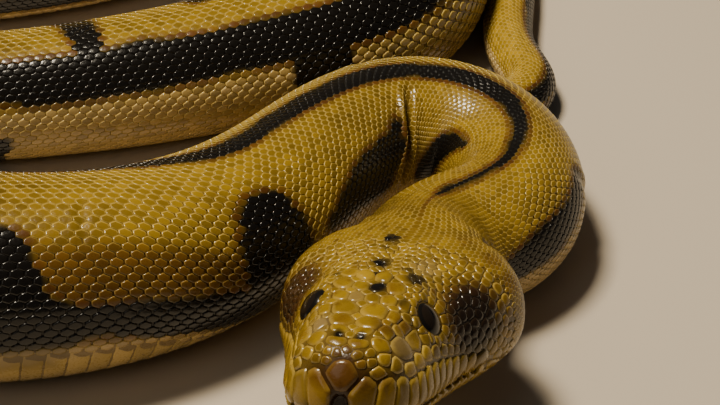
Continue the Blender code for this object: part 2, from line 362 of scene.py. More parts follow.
def surface(s, phi, lift=0.0):
    """Points at s metres behind the head's joint, phi radians round and lift above the skin."""
    s, phi, lift = np.broadcast_arrays(*(np.asarray(given, float) for given in (s, phi, lift)))
    point = body_point(np.maximum(s, 0), phi, lift)
    on_head = s < 0
    if on_head.any():
        point[on_head] = head_point(s[on_head], phi[on_head], lift[on_head])
    return point


print("surface: crown", np.round(surface(-0.05, 0.0), 4), "mid-body back", np.round(surface(1.0, 0.0), 4))

# %% [markdown]
# ## The markings
# A reticulated python of this kind has a black line along its back, black columns that rise from a
# dark band low on each flank, gold between them and a cream belly. Every black mark has a thin
# orange-brown edge. The marks are drawn as chains of round spots in (s, phi), and a spot's distance
# in mm decides the colour. Skin and scales read the same function, so they agree.

# %% Black marks that are listed one by one
# Each chain runs through points of s (mm), phi (degrees) and half width (mm). Negative phi is the
# side that faces inwards at the neck's loop.
NEAR_MARKS = [
    [(96, -50, 1.5), (110, -62, 5), (126, -74, 7.5), (142, -86, 8), (162, -98, 8)],
    [(181, -48, 1.5), (188, -64, 5.5), (203, -77, 10.5), (216, -79, 9.5), (230, -83, 6), (240, -87, 3)],
    [(268, -60, 11), (268, -75, 13.5), (266, -105, 14), (268, -132, 13)],
    [(364, -85, 15), (362, -112, 18), (358, -125, 22)],
    [(42, 88, 5.5), (56, 82, 7.5), (70, 74, 4.5), (78, 66, 3)],
    [(150, 70, 7), (152, 95, 9), (152, 125, 9)], [(205, 64, 8), (207, 90, 10), (206, 125, 10)],
    [(300, 60, 9), (300, 90, 11), (302, 128, 11)],
    [(1620, -10, 12.5), (1620, -45, 11), (1618, -90, 9), (1618, -125, 8)],
    [(1712, 18, 5), (1714, 45, 6), (1716, 70, 6.5), (1722, 110, 8)],
    [(1752, -52, 4), (1757, -72, 6), (1760, -110, 8)],
    [(1660, 78, 6), (1662, 120, 8)],
    [(2950, -40, 4), (2952, 30, 2)], [(3075, -30, 6), (3085, -70, 7), (3095, -110, 7)],
]
# mm behind the head; half width of the line along the back, and how far it lies to the plus side, in mm
BACK_LINE = [
    (-26, -3, 0), (12, -1.2, 0), (24, 1.3, 0), (44, 1.8, 0.3), (70, 2.1, 0.8), (92, 2.7, 1.4),
    (112, 4.6, 1.9), (150, 4.9, 2), (250, 5, 2), (330, 6, 1), (400, 7, 0), (1000, 8.5, 0),
    (1500, 8.5, 1), (1570, 9.4, 3.2), (1650, 10.4, 3.2), (1760, 9.4, 3.2), (1900, 8.5, 0),
    (2300, 7, 0), (2700, 5.5, 0), (3000, 4.6, 0), (3345, 1.2, 0),
]
LINE_START = -26                          # mm behind the head
BAND_HEIGHT, BAND_SHARE = 121.0, 0.21     # degrees from the back, and half width to the body's radius
BAND_FADES = (225, 285), (2860, 2930)     # mm behind the head: where the band comes in and goes out
print("markings by hand:", len(NEAR_MARKS), "black chains")

# %% Black columns along the rest of the body
BY_HAND = [(1560, 1790), (2920, 3130)]    # mm behind the head: stretches that are left to the chains above
FIRST_COLUMNS, LAST_COLUMN = {-1: 445.0, 1: 400.0}, 3180      # mm behind the head, on each side
COLUMN_PITCH = 100.0
COLUMN_MIDDLE, COLUMN_FOOT = 92, 118      # degrees down the flank
JOINED, JOINED_TOP = 0.28, 12             # the share of columns that reach the back's line, and their top

rng = np.random.default_rng(7)


def column_chains():
    """The columns where nothing is set by hand, one about every 100 mm on each side."""
    chains = []
    for side, place in FIRST_COLUMNS.items():
        while place < LAST_COLUMN:
            radius = np.interp(place * MM, line_s, line[:, 3]) / MM
            if not any(low < place < high for low, high in BY_HAND):
                top = rng.uniform(58, 76)
                half = rng.uniform(0.24, 0.34) * radius
                slant = rng.uniform(-0.16, 0.16) * radius
                if rng.random() < JOINED:
                    top = JOINED_TOP
                chains.append([
                    (place + slant, side * top, half * 0.8), (place, side * COLUMN_MIDDLE, half),
                    (place - slant * 0.5, side * COLUMN_FOOT, half * 1.15),
                ])
            place += COLUMN_PITCH * (0.45 + 0.55 * radius / 50) * rng.uniform(0.86, 1.14)
    return chains


CHAINS = NEAR_MARKS + column_chains()
print("markings:", len(CHAINS), "black chains")


# %% The distance to the nearest black mark
FAR = 50.0                                # mm: outside every mark


def wobble(s_mm, scale, seed):
    """A smooth unevenness between about -1 and 1 along the body."""
    phase = seed * 1.7
    return (np.sin(s_mm / scale + phase) + 0.6 * np.sin(s_mm / (scale * 0.43) + 2.1 * phase)
            + 0.35 * np.sin(s_mm / (scale * 0.21) + 3.3 * phase)) / 1.95


def between(s_mm, rise, fall):
    """1 between a rise and a fall along the body, 0 outside them."""
    return smoothstep(*rise, s_mm) * (1 - smoothstep(*fall, s_mm))


def mark_distance(s, phi):
    """Distance outside the nearest black mark in mm, below zero inside one."""
    s_mm, degrees = s / MM, np.degrees(phi)
    radius = np.interp(np.maximum(s, 0), line_s, line[:, 3]) / MM
    arc = radius * np.pi / 180
    line_places, line_halves, line_offsets = zip(*BACK_LINE)
    half_line = np.interp(s_mm, line_places, line_halves) * (1 + 0.14 * wobble(s_mm, 17, 1))
    away = np.abs(degrees * arc - np.interp(s_mm, line_places, line_offsets)) - half_line
    away = np.where(s_mm < LINE_START, FAR, away)
    low = (np.abs(degrees) - BAND_HEIGHT) * arc
    thick = BAND_SHARE * radius * (1 + 0.35 * wobble(s_mm, 23, 2 + np.sign(degrees)))
    thick = thick * between(s_mm, *BAND_FADES)
    past_band = (s_mm < np.mean(BAND_FADES[0])) | (s_mm > np.mean(BAND_FADES[1]))
    away = np.minimum(away, np.abs(low) - thick + 3 * past_band)
    for chain in CHAINS:
        for (s0, p0, w0), (s1, p1, w1) in zip(chain, chain[1:]):
            reach = 30 + max(w0, w1)
            near = (s_mm > min(s0, s1) - reach) & (s_mm < max(s0, s1) + reach)
            near &= degrees * np.sign(p0) > -12
            if near.any():
                across = (degrees[near] - p0) * arc[near]
                share, gap = from_segment(s_mm[near] - s0, across, s1 - s0, (p1 - p0) * arc[near])
                away[near] = np.minimum(away[near], gap - (w0 + share * (w1 - w0)))
    return away + 0.7 * wobble(s_mm + degrees * 0.9, 9, 5)


on_line = mark_distance(np.array([1.0]), np.array([0.0]))
print("mid-body back:", on_line.round(1), "mm outside the nearest black mark")

# %% The four channels of colour
BELLY_START = 137.0                       # degrees from the back
# stretches of the body in mm behind the head, each as the rise and the fall of its colour
NECK_BELLY = (20, 40), (200, 285)         # the belly's cream climbs up the neck's flanks
FRONT = (235, 285), (420, 500)            # painted shade at the coil's front: a less pale belly and a brown inner flank
PAINTED_LIGHT_FLANK = (1540, 1640), (1760, 1850)        # painted light: the inner flank is painted paler and brighter, with brown mottles
TAIL_BRIGHT = (2920, 2960)                # the tail is brighter from here on


def body_marks(s, phi):
    """Black, brown, pale and tone at each place, from 0 to 1."""
    s_mm, degrees = s / MM, np.abs(np.degrees(phi))
    away = mark_distance(s, phi)
    black = 1 - smoothstep(-0.4, 1.0, away)
    brown = (1 - smoothstep(0.8, 4.2, away)) * (1 - black)
    mottle = wobble(s_mm + 40 * np.sin(degrees / 23), 11, 9) * wobble(degrees * 1.3 + s_mm * 0.4, 8, 4)
    mottled = smoothstep(0.42, 0.8, mottle) * smoothstep(70, 95, degrees) * (s_mm > 20)
    brown = np.maximum(brown, 0.55 * mottled)
    # painted shade at the coil's front: the belly is made less pale there
    front = between(s_mm, *FRONT)
    belly = smoothstep(BELLY_START - 4, BELLY_START + 3, degrees) * (1 - 0.35 * front)
    pale = np.maximum(belly, smoothstep(96, 108, degrees) * between(s_mm, *NECK_BELLY))
    black *= 1 - pale * 0.92
    # painted light: along this stretch the inner flank is painted paler, with brown mottles in it
    painted_light_flank = between(s_mm, *PAINTED_LIGHT_FLANK) * smoothstep(14, 26, -np.degrees(phi))
    patchy = 0.5 + 0.5 * wobble(s_mm + 2.2 * degrees, 13, 8) * wobble(degrees * 1.9 - s_mm * 0.6, 9, 11)
    pale = np.maximum(pale, painted_light_flank * (0.42 + 0.42 * patchy))
    brown = np.maximum(brown, 0.6 * painted_light_flank * (1 - smoothstep(0.25, 0.5, patchy)) * (1 - black))
    # painted shade at the coil's front: the inner flank is made brown
    inner_flank = smoothstep(66, 84, degrees) * (phi < 0)
    brown = np.maximum(brown, 0.8 * inner_flank * front * (1 - black))
    tone = 0.5 + 0.22 * wobble(s_mm, 31, 3) + 0.25 * (smoothstep(40, 100, degrees) - 0.5)
    # the painted light on the inner flank also raises the tone
    tone = tone + 0.5 * painted_light_flank + 0.4 * smoothstep(*TAIL_BRIGHT, s_mm)
    return np.stack([black, brown * (1 - pale), pale, np.clip(tone, 0, 1)], axis=-1)


on_line = body_marks(np.array([1.0]), np.array([0.0]))
print("mid-body back:", on_line.round(2), "as black, brown, pale and tone")

# %% [markdown]
# ## The markings of the head
# The head is gold above, bright yellow on the lip shields, and has a few black marks along the
# middle of the crown, a brown patch behind each eye and greyish scales near the nostrils. The
# nostrils, the notch in the upper lip and the snout's front under the nose carry painted shade.

# %% Spots of colour on the head
# x to the animal's right of the middle, behind, height, radius, strength, in mm
HEAD_BLACK = [
    (-34, 70, 3, 13, 0.9), (33, 70, 4, 12.5, 0.62),                           # behind the eyes
    (3.9, 11.8, 10.1, 2.2, 1), (-3.9, 11.8, 10.1, 2.2, 1),                    # nostrils, painted black as painted shade in their openings
    (5.3, 96, 23, 3.2, 1), (4.0, 86, 22, 2.2, 0.6), (2.1, 72, 19.7, 3.8, 1),  # along the crown
    (0.2, 62, 18.5, 2.4, 0.9), (-2.8, 49, 17.3, 3.8, 1),
    (-13.5, 62, 18, 4.2, 0.9), (-10, 67, 19, 2.4, 0.7), (-13.5, 42, 14.5, 2.4, 0.7),   # beside it
    (14.5, 60, 18, 2.0, 0.6), (20, 62, 15, 2.0, 0.45),
]
HEAD_BROWN = [
    (-33, 70, 4, 14, 1), (33, 70, 4, 14, 1), (-40, 84, -4, 10, 0.7), (40, 84, -4, 10, 0.7),
    (0, 2, 3.5, 5, 0.9), (0, 0, -10, 16, 0.9), (-13, 4, -4, 4.5, 0.6), (12, 4, -5, 4, 0.35),   # snout; the second spot, wide and low, is painted shade round the notch and under the nose
    (-10, 21, 12, 4, 0.55), (4, 21, 12.5, 3, 0.45), (-16, 30, 10, 4, 0.5), (-7, 48, 16.5, 3.5, 0.4),
    (9, 66, 20, 3, 0.4), (-20, 108, 22, 4, 0.55), (-32, 102, 16, 5, 0.6), (-40, 99, 10, 5, 0.6),
]
HEAD_GREY = [
    (12, 20, 10, 4.5, 0.8), (-19, 20, 4.5, 6, 0.75), (-14, 74, 19, 5, 0.5), (3, 40, 15.5, 3.5, 0.45),
]
# one bright yellow shield on the crown, and the shields over the front of each lip
HEAD_BRIGHT = [(4.4, 57, 19, 5.2, 1), (16, 28, -6, 9, 0.5), (-18, 30, -4, 10, 0.8)]
HEAD_BLEND = (-0.034, -0.012)             # metres behind the joint, between head marks and body marks


def spot_strength(spots, x, behind, z):
    """The strongest of the spots at each place. A spot is longer than wide."""
    most = np.zeros(np.shape(x))
    for cx, cb, cz, radius, strength in spots:
        away = np.sqrt((x - cx) ** 2 + ((behind - cb) * 0.7) ** 2 + ((z - cz) * 0.8) ** 2) / radius
        most = np.maximum(most, strength * (1 - smoothstep(0.5, 1.25, away)))
    return most


def head_marks(x, behind, z):
    """Black, brown, pale and tone at places on the head in mm, x from the head's middle."""
    tables = (HEAD_BLACK, HEAD_BROWN, HEAD_GREY, HEAD_BRIGHT)
    black, brown, grey, bright = (spot_strength(spots, x, behind, z) for spots in tables)
    above = z - head_section(behind)[4]
    throat = 1 - smoothstep(-15, -8, above)
    lips = smoothstep(-8, -2, above) * (1 - smoothstep(9, 14, above)) * (np.abs(x) > 4)
    tone = 0.40 + 0.2 * wobble(x * 1.4 + behind, 5, 6) + 0.35 * lips + 0.6 * bright
    mottle = wobble(x * 2.3 + behind * 0.7, 3.1, 4) * wobble(behind * 1.9 - x, 3.7, 7)
    brown = np.maximum(brown, 0.5 * smoothstep(0.12, 0.5, mottle) * (1 - throat) * (1 - bright))
    # painted shade in the notch: it is darkened to black and brown and kept from the pale
    notch = in_notch(np.abs(x), behind, z)
    black = np.maximum(np.maximum(black, 0.4 * grey), 0.7 * notch)
    pale = np.maximum(throat, 0.45 * grey)
    brown = np.maximum(brown * (1 - 0.5 * lips), notch)
    return np.stack([black, brown, pale * (1 - notch), np.clip(tone, 0, 1)], axis=-1)


def all_marks(s, phi):
    """The four channels anywhere on the animal."""
    s, phi = np.broadcast_arrays(np.asarray(s, float), np.asarray(phi, float))
    blend = smoothstep(*HEAD_BLEND, s)[..., None]
    x, behind, z = head_local(behind_snout(np.minimum(s, 0)), phi)
    on_head = head_marks(x - head_section(behind)[0], behind, z)
    return on_head * (1 - blend) + body_marks(s, phi) * blend


print("head marks:", sum(len(spots) for spots in (HEAD_BLACK, HEAD_BROWN, HEAD_GREY, HEAD_BRIGHT)), "spots")


# %% [markdown]
# ## The skin
# The real skin is one stretchy sheet. A grid is made with create_grid and each of its points is
# moved to its place on the surface, then its two long edges are welded under the belly. Its rows
# lie closer on the head and in tight bends, and its columns lie closer along the mouth.

# %% Rows of the skin's grid
BODY_ROW, BODY_ROW_TURN = 7.6 * MM, math.radians(6.5)      # the most length and bend between two rows
effort = line_s / BODY_ROW + line_turn / BODY_ROW_TURN
body_rows = np.interp(np.arange(0, effort[-1], 1.0), effort, line_s)
nose_rows = SNOUT_TIP + (HEAD_FRONT - SNOUT_TIP) * np.linspace(0.04, 1, 9) ** 2
head_lines = np.linspace(HEAD_FRONT, HEAD_MM, 104)[1:-1]
ROWS = np.concatenate([(nose_rows - HEAD_MM) * MM, (head_lines - HEAD_MM) * MM, body_rows, [LENGTH]])
print("skin's rows:", len(nose_rows) + len(head_lines), "on the head,", len(body_rows) + 1, "behind it")

# %% Columns of the skin's grid
HALF_COLUMNS = 60
MOUTH_MARGIN = 7                          # degrees above and below the mouth's line with close columns
MOUTH_START, MOUTH_STOP = 0.5, 0.66       # the shares of one side's columns at which they start and stop
MOUTH_FADE = (96, 125)                    # mm behind the snout: where the columns turn even


def mouth_angle(behind):
    """phi in degrees at which the mouth's line crosses a section."""
    _, _, _, widest, mouth, throat = head_section(behind)
    share = ((widest - mouth) / (widest - throat)) ** (THROAT_FULLNESS / 2)
    return 90 + np.degrees(np.arcsin(share))


def column_angle(column, s):
    """phi for a column from -1 to 1, closer together beside the mouth."""
    behind = behind_snout(s)
    side = np.abs(column)
    mouth = mouth_angle(np.clip(behind, HEAD_FRONT, HEAD_MM))
    above = np.minimum(side / MOUTH_START, 1) * (mouth - MOUTH_MARGIN)
    beside = np.clip((side - MOUTH_START) / (MOUTH_STOP - MOUTH_START), 0, 1) * 2 * MOUTH_MARGIN
    below = np.clip((side - MOUTH_STOP) / (1 - MOUTH_STOP), 0, 1) * (180 - mouth - MOUTH_MARGIN)
    on_head = 1 - smoothstep(*MOUTH_FADE, behind)
    return np.radians(np.sign(column) * (on_head * (above + beside + below) + (1 - on_head) * 180 * side))


print("skin's columns:", 2 * HALF_COLUMNS, "with the mouth at", mouth_angle(50.0).round(1), "degrees")

# %% Helpers that turn arrays into a piece of the model
def mesh_from_arrays(name, points, triangles):
    """One mesh from an array of points and an array of triangles."""
    mesh = bpy.data.meshes.new(name)
    mesh.vertices.add(len(points))
    mesh.vertices.foreach_set("co", points.astype(np.float32).ravel())
    mesh.loops.add(triangles.size)
    mesh.loops.foreach_set("vertex_index", triangles.astype(np.int32).ravel())
    mesh.polygons.add(len(triangles))
    mesh.polygons.foreach_set("loop_start", np.arange(0, triangles.size, 3, dtype=np.int32))
    mesh.update(calc_edges=True)
    mesh.shade_smooth()
    return mesh


def bake_map(mesh, places):
    """The map OFBake, from one (u, v) for each point. Each scale is a small patch at its own place."""
    corners = np.empty(len(mesh.loops), np.int32)
    mesh.loops.foreach_get("vertex_index", corners)
    mesh.uv_layers.new(name="OFBake").data.foreach_set("uv", places[corners].astype(np.float32).ravel())


def set_colours(mesh, name, values):
    """Four values for each point of the mesh, which materials read by the name."""
    made = mesh.attributes.new(name, "FLOAT_COLOR", "POINT")
    made.data.foreach_set("color", values.astype(np.float32).ravel())


def grain_of(rim, shade):
    """The values of the attribute "grain": how near a point is to a scale's rim, where a highlight is
    painted, and the scale's shade.
    """
    return np.stack(np.broadcast_arrays(rim, shade, 0.0, 1.0), axis=-1).reshape(-1, 4)


def add_piece(name, mesh, material):
    """Links a mesh as a piece that rides on the fixed frame."""
    mesh.materials.append(material)
    piece = bpy.data.objects.new(name, mesh)
    bpy.context.scene.collection.objects.link(piece)
    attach(piece, "root")
    return piece


print("helpers for pieces: ready")

# %% Make the skin
sheet = bmesh.new()
bmesh.ops.create_grid(sheet, x_segments=len(ROWS) - 1, y_segments=2 * HALF_COLUMNS, size=1.0)
flat = np.array([vert.co[:2] for vert in sheet.verts])
row_index = np.rint((flat[:, 0] + 1) / 2 * (len(ROWS) - 1)).astype(int)
skin_s = ROWS[row_index]
skin_phi = column_angle(flat[:, 1], skin_s)
skin_places = surface(skin_s, skin_phi)
marks_layer = sheet.verts.layers.float_color.new("marks")
for vert, place, mark in zip(sheet.verts, skin_places, all_marks(skin_s, skin_phi)):
    vert.co = place
    vert[marks_layer] = mark
sheet.verts.ensure_lookup_table()
seam = [sheet.verts[k] for k in np.nonzero(np.abs(flat[:, 1]) > 0.999)[0]]
snout_end = [sheet.verts[k] for k in np.nonzero(row_index == 0)[0]]
tail_end = [sheet.verts[k] for k in np.nonzero(row_index == len(ROWS) - 1)[0]]
for ring, centre in ((snout_end, surface((SNOUT_TIP - HEAD_MM) * MM, 0.0)), (tail_end, line[-1, :3])):
    bmesh.ops.pointmerge(sheet, verts=ring, merge_co=Vector(centre))
bmesh.ops.remove_doubles(sheet, verts=[vert for vert in seam if vert.is_valid], dist=1e-7)
bmesh.ops.recalc_face_normals(sheet, faces=sheet.faces)
skin_tree = BVHTree.FromBMesh(sheet)
skin_mesh = bpy.data.meshes.new("skin")
sheet.to_mesh(skin_mesh)
sheet.free()
skin_mesh.shade_smooth()
print("skin:", len(skin_mesh.vertices), "points,", len(skin_mesh.polygons), "faces")

# %% [markdown]
# ## Finishes
# Scales and skin share their colours, so the mixing is one node group: it reads the marks stored
# on each mesh, mixes gold, olive, brown, cream and black, paints a highlight on each scale's rim and
# adds a slow unevenness. Each material gives the group its own colours and keeps its own shader.

# %% Helpers for nodes
def feed(tree, sockets, values):
    """Links a node's output to each socket, or gives the socket the value."""
    for socket, value in zip(sockets, values):
        if isinstance(value, (int, float, tuple)):
            socket.default_value = value
        else:
            tree.links.new(value, socket)


def mix_colour(tree, factor, first, second, blend="MIX"):
    """The output of a node that mixes two colours."""
    node = tree.nodes.new("ShaderNodeMix")
    node.data_type, node.blend_type = "RGBA", blend
    feed(tree, (node.inputs[0], node.inputs[6], node.inputs[7]), (factor, first, second))
    return node.outputs[2]


def math_node(tree, operation, *values, clamp=False):
    """The output of a node that works out one number."""
    node = tree.nodes.new("ShaderNodeMath")
    node.operation, node.use_clamp = operation, clamp
    feed(tree, node.inputs, values)
    return node.outputs[0]


def channels(tree, attribute):
    """An attribute's node and its colour, split into three channels."""
    read = tree.nodes.new("ShaderNodeAttribute")
    read.attribute_name = attribute
    split = tree.nodes.new("ShaderNodeSeparateColor")
    tree.links.new(read.outputs["Color"], split.inputs[0])
    return read, split.outputs


def noise(tree, scale, detail):
    """An unevenness from 0 to 1 in Object coordinates."""
    place = tree.nodes.new("ShaderNodeTexCoord")
    node = tree.nodes.new("ShaderNodeTexNoise")
    tree.links.new(place.outputs["Object"], node.inputs["Vector"])
    feed(tree, (node.inputs["Scale"], node.inputs["Detail"]), (scale, detail))
    return node.outputs["Fac"]


print("helpers for nodes: ready")

# %% The shared group that mixes the animal's colours
COLOUR_INPUTS = ("Gold", "Olive", "Brown", "Cream", "Black", "Painted rim highlight")
CLOUDS, GRIT = (45, 3), (900, 2)          # scale and detail of the slow unevenness and of the fine one
colours = bpy.data.node_groups.new("snake_colours", "ShaderNodeTree")
for label in COLOUR_INPUTS:
    colours.interface.new_socket(label, in_out="INPUT", socket_type="NodeSocketColor")
# how strong the painted highlight on the rims is
colours.interface.new_socket("Rim amount", in_out="INPUT", socket_type="NodeSocketFloat")
colours.interface.new_socket("Color", in_out="OUTPUT", socket_type="NodeSocketColor")
colours.interface.new_socket("Roughness", in_out="OUTPUT", socket_type="NodeSocketFloat")
colours.interface.new_socket("Height", in_out="OUTPUT", socket_type="NodeSocketFloat")
given = colours.nodes.new("NodeGroupInput").outputs
result = colours.nodes.new("NodeGroupOutput").inputs

marks, (black_mark, brown_mark, pale_mark) = channels(colours, "marks")
_, (rim_place, scale_shade, _) = channels(colours, "grain")
cloudy = math_node(colours, "MULTIPLY_ADD", noise(colours, *CLOUDS), 1.2, -0.6)
tone = math_node(colours, "ADD", marks.outputs["Alpha"], cloudy, clamp=True)
ground = mix_colour(colours, tone, given["Olive"], given["Gold"])
ground = mix_colour(colours, brown_mark, ground, given["Brown"])
ground = mix_colour(colours, pale_mark, ground, given["Cream"])
speckle = math_node(colours, "MULTIPLY_ADD", scale_shade, 0.5, 0.75)
shade = colours.nodes.new("ShaderNodeCombineColor")
feed(colours, shade.inputs, [speckle] * 3)
ground = mix_colour(colours, 1.0, ground, shade.outputs[0], "MULTIPLY")
unbrowned = math_node(colours, "MULTIPLY_ADD", brown_mark, -0.85, 1.0)
# painted highlight: each scale's rim is lightened towards the rim colour, less where it is brown
painted_rim_highlight = math_node(colours, "MULTIPLY", rim_place, given["Rim amount"], clamp=True)
painted_rim_highlight = math_node(colours, "MULTIPLY", painted_rim_highlight, unbrowned, clamp=True)
ground = mix_colour(colours, painted_rim_highlight, ground, given["Painted rim highlight"])
ground = mix_colour(colours, black_mark, ground, given["Black"])
grit = noise(colours, *GRIT)
dull = math_node(colours, "MULTIPLY_ADD", black_mark, -0.06, 0.24)
dull = math_node(colours, "ADD", dull, math_node(colours, "MULTIPLY", grit, 0.08))
feed(colours, (result["Color"], result["Roughness"], result["Height"]), (ground, dull, grit))
print("group:", colours.name, len(colours.nodes), "nodes")

# %% Materials that use it
BUMP_STRENGTH, SPECULAR, COAT_ROUGHNESS = 0.25, 0.25, 0.09
# the colours are in the order of COLOUR_INPUTS: gold, olive, brown, cream, black and the painted highlight of
# the rims
SCALE_COLOURS = [
    (0.30, 0.185, 0.008, 1), (0.105, 0.061, 0.003, 1), (0.075, 0.028, 0.005, 1),
    (0.50, 0.36, 0.17, 1), (0.0055, 0.0045, 0.0035, 1), (0.62, 0.45, 0.11, 1),
]
SKIN_COLOURS = [
    (0.20, 0.125, 0.016, 1), (0.11, 0.065, 0.008, 1), (0.05, 0.02, 0.006, 1),
    (0.36, 0.26, 0.13, 1), (0.006, 0.005, 0.004, 1), (0.62, 0.45, 0.11, 1),
]


def snake_material(name, palette, painted_highlight_amount, bump, coat):
    """A material with the shared group's colours, a fine bump in metres and a glossy coat. Its third argument
    sets how strong the painted highlight on the rims is.
    """
    made = bpy.data.materials.new(name)
    made.use_nodes = True
    tree = made.node_tree
    shader = tree.nodes["Principled BSDF"].inputs
    paint = tree.nodes.new("ShaderNodeGroup")
    paint.node_tree = colours
    feed(tree, [paint.inputs[label] for label in COLOUR_INPUTS], palette)
    paint.inputs["Rim amount"].default_value = painted_highlight_amount
    relief = tree.nodes.new("ShaderNodeBump")
    relief.inputs["Strength"].default_value = BUMP_STRENGTH
    relief.inputs["Distance"].default_value = bump
    tree.links.new(paint.outputs["Height"], relief.inputs["Height"])
    tree.links.new(relief.outputs["Normal"], shader["Normal"])
    tree.links.new(paint.outputs["Color"], shader["Base Color"])
    tree.links.new(paint.outputs["Roughness"], shader["Roughness"])
    shader["Specular IOR Level"].default_value = SPECULAR
    shader["Coat Weight"].default_value = coat
    shader["Coat Roughness"].default_value = COAT_ROUGHNESS
    return made


# the scales get a painted highlight on their rims, the skin gets none
scale_finish = snake_material("glossy_scales", SCALE_COLOURS, 0.7, 0.4 * MM, 0.32)
skin_finish = snake_material("soft_skin", SKIN_COLOURS, 0.0, 0.5 * MM, 0.1)
print("materials:", scale_finish.name, "and", skin_finish.name)

# %% Lay the skin over the frame
skin = add_piece("skin", skin_mesh, skin_finish)
flesh = [name for name in frame["nodes"] if not name.startswith("eye")]
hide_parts(*flesh)
print("skin stands for", len(flesh), "solids")

# %% [markdown]
# ## The scales of the body
# The real scales are thin horny plates, one beside the other in slanting rows, each a little domed
# and overlapping the next like tiles. An array modifier can't follow a body that bends and thins,
# so one scale is modelled, and its points are carried to tens of thousands of places by the
# surface function.

# %% One scale
SCALE_SHAPE, SCALE_RISE = 1.62, 0.155     # length and height of a scale, to its width
HEXAGON = [(1, 0.33), (0, 0.72), (-1, 0.33), (-1, -0.33), (0, -0.72), (1, -0.33)]


def middle_face(mesh):
    """The face nearest to the origin."""
    return min(mesh.faces, key=lambda face: face.calc_center_median().length)


one = bmesh.new()
one.faces.new([one.verts.new((x, y, 0)) for x, y in HEXAGON])
for step_in in (0.13, 0.2):
    bmesh.ops.inset_individual(one, faces=[middle_face(one)], thickness=step_in, use_even_offset=True)
bmesh.ops.poke(one, faces=[middle_face(one)])
bmesh.ops.triangulate(one, faces=one.faces[:])
one.verts.index_update()
unit = np.array([vert.co[:2] for vert in one.verts])
SCALE_TRIANGLES = np.array([[vert.index for vert in face.verts] for face in one.faces])
one.free()
SCALE_RING = np.array([0] * 6 + [1] * 6 + [2] * 6 + [3])   # edge, top's edge, shoulder, middle
# how much painted highlight each ring gets: most at the scale's edge
SCALE_RIM = np.array([1.0, 0.85, 0.0, 0.0])[SCALE_RING]
SCALE_HEIGHT = np.array([-0.45, 0.75, 0.9, 1.0])[SCALE_RING] + 0.3 * unit[:, 0]   # the rear end stands up
print("one scale:", len(unit), "points,", len(SCALE_TRIANGLES), "triangles")

# %% Where the rows and the scales of each row lie
# mm behind the head, mm between two rows: fine on the neck and the tail, coarse at mid-body
SCALE_WIDTHS = [
    (-40, 1.9), (60, 1.9), (160, 2.05), (250, 2.5), (330, 3.0), (420, 3.25), (650, 3.6), (1250, 3.6),
    (1450, 2.9), (1900, 2.7), (2500, 2.45), (2900, 2.0), (3100, 1.6), (3250, 1.25), (3345, 1.15),
]
LATTICE_START, LATTICE_STEP = -36 * MM, 0.5 * MM
TAIL_END = LENGTH - 3 * MM
EDGE_ANGLE, EDGE_TAIL, EDGE_HEAD = 142, 156, 138     # degrees from the back to the belly's plates

lattice_s = np.arange(LATTICE_START - 20 * MM, LENGTH, LATTICE_STEP)
_, half_l, crown_l, _, _, throat_l = head_section(np.clip(behind_snout(lattice_s), HEAD_FRONT, HEAD_MM))
head_radius = (half_l + (crown_l - throat_l) / 2) / 2 * MM
lattice_radius = np.where(lattice_s < 0, head_radius, np.interp(lattice_s, line_s, line[:, 3]))
row_width = np.interp(lattice_s / MM, *zip(*SCALE_WIDTHS)) * MM
along_count = np.concatenate([[0], np.cumsum(LATTICE_STEP / (SCALE_SHAPE * row_width))[:-1]])


def belly_edge(s):
    """phi in degrees where the rows of scales meet the belly's plates."""
    tail = (EDGE_TAIL - EDGE_ANGLE) * smoothstep(2.86, 2.95, s)
    return EDGE_ANGLE + tail + (EDGE_HEAD - EDGE_ANGLE) * (1 - smoothstep(0, 0.1, s))


def lattice():
    """s, phi and width of each scale. Every other row lies half a scale further back."""
    found = []
    rows = math.ceil(np.pi * (lattice_radius / row_width).max())
    for row in range(-rows, rows + 1):
        s = np.interp(np.arange(along_count[-1]) + 0.5 * (row % 2), along_count, lattice_s)
        width = np.interp(s, lattice_s, row_width)
        phi = row * width / np.interp(s, lattice_s, lattice_radius)
        keep = (np.abs(np.degrees(phi)) < belly_edge(s) - 0.3) & (s > LATTICE_START) & (s < TAIL_END)
        found.append(np.stack([s, phi, width], axis=-1)[keep])
    return np.concatenate(found)


places = lattice()
above_floor = surface(places[:, 0], places[:, 1])[:, 2] > FLOOR_GAP + 0.1 * MM
places = places[above_floor]
print("scales:", len(places))

# %% Carry the scale to its places
FILL = 0.97                               # a scale or a plate, to the room it has
COLOUR_SPREAD = 0.3                       # 0 gives each scale one colour, 1 lets the marks cross it
LEAST_LONG, MOST_LONG = 0.62, 1.12        # a scale's length, to its own, where the skin is squeezed or spread
MOST_REACHED = 1.4                        # half its length along the centreline, to its own length
PATCH = 0.0015                            # half the width of a scale's patch on the map OFBake


def stretch(s, phi):
    """How much longer the surface is along the body here than at the centreline."""
    step = 0.5 * MM
    moved = surface(s + step, phi) - surface(s - step, phi)
    return np.linalg.norm(moved, axis=-1) / (2 * step)


def inset(share, margin):
    """A share from 0 to 1, kept a margin away from both ends."""
    return share * (1 - 2 * margin) + margin


def repeated(triangles, points, copies):
    """The triangles of one small mesh, for that many copies of its points."""
    return (triangles[None] + points * np.arange(copies)[:, None, None]).reshape(-1, 3)


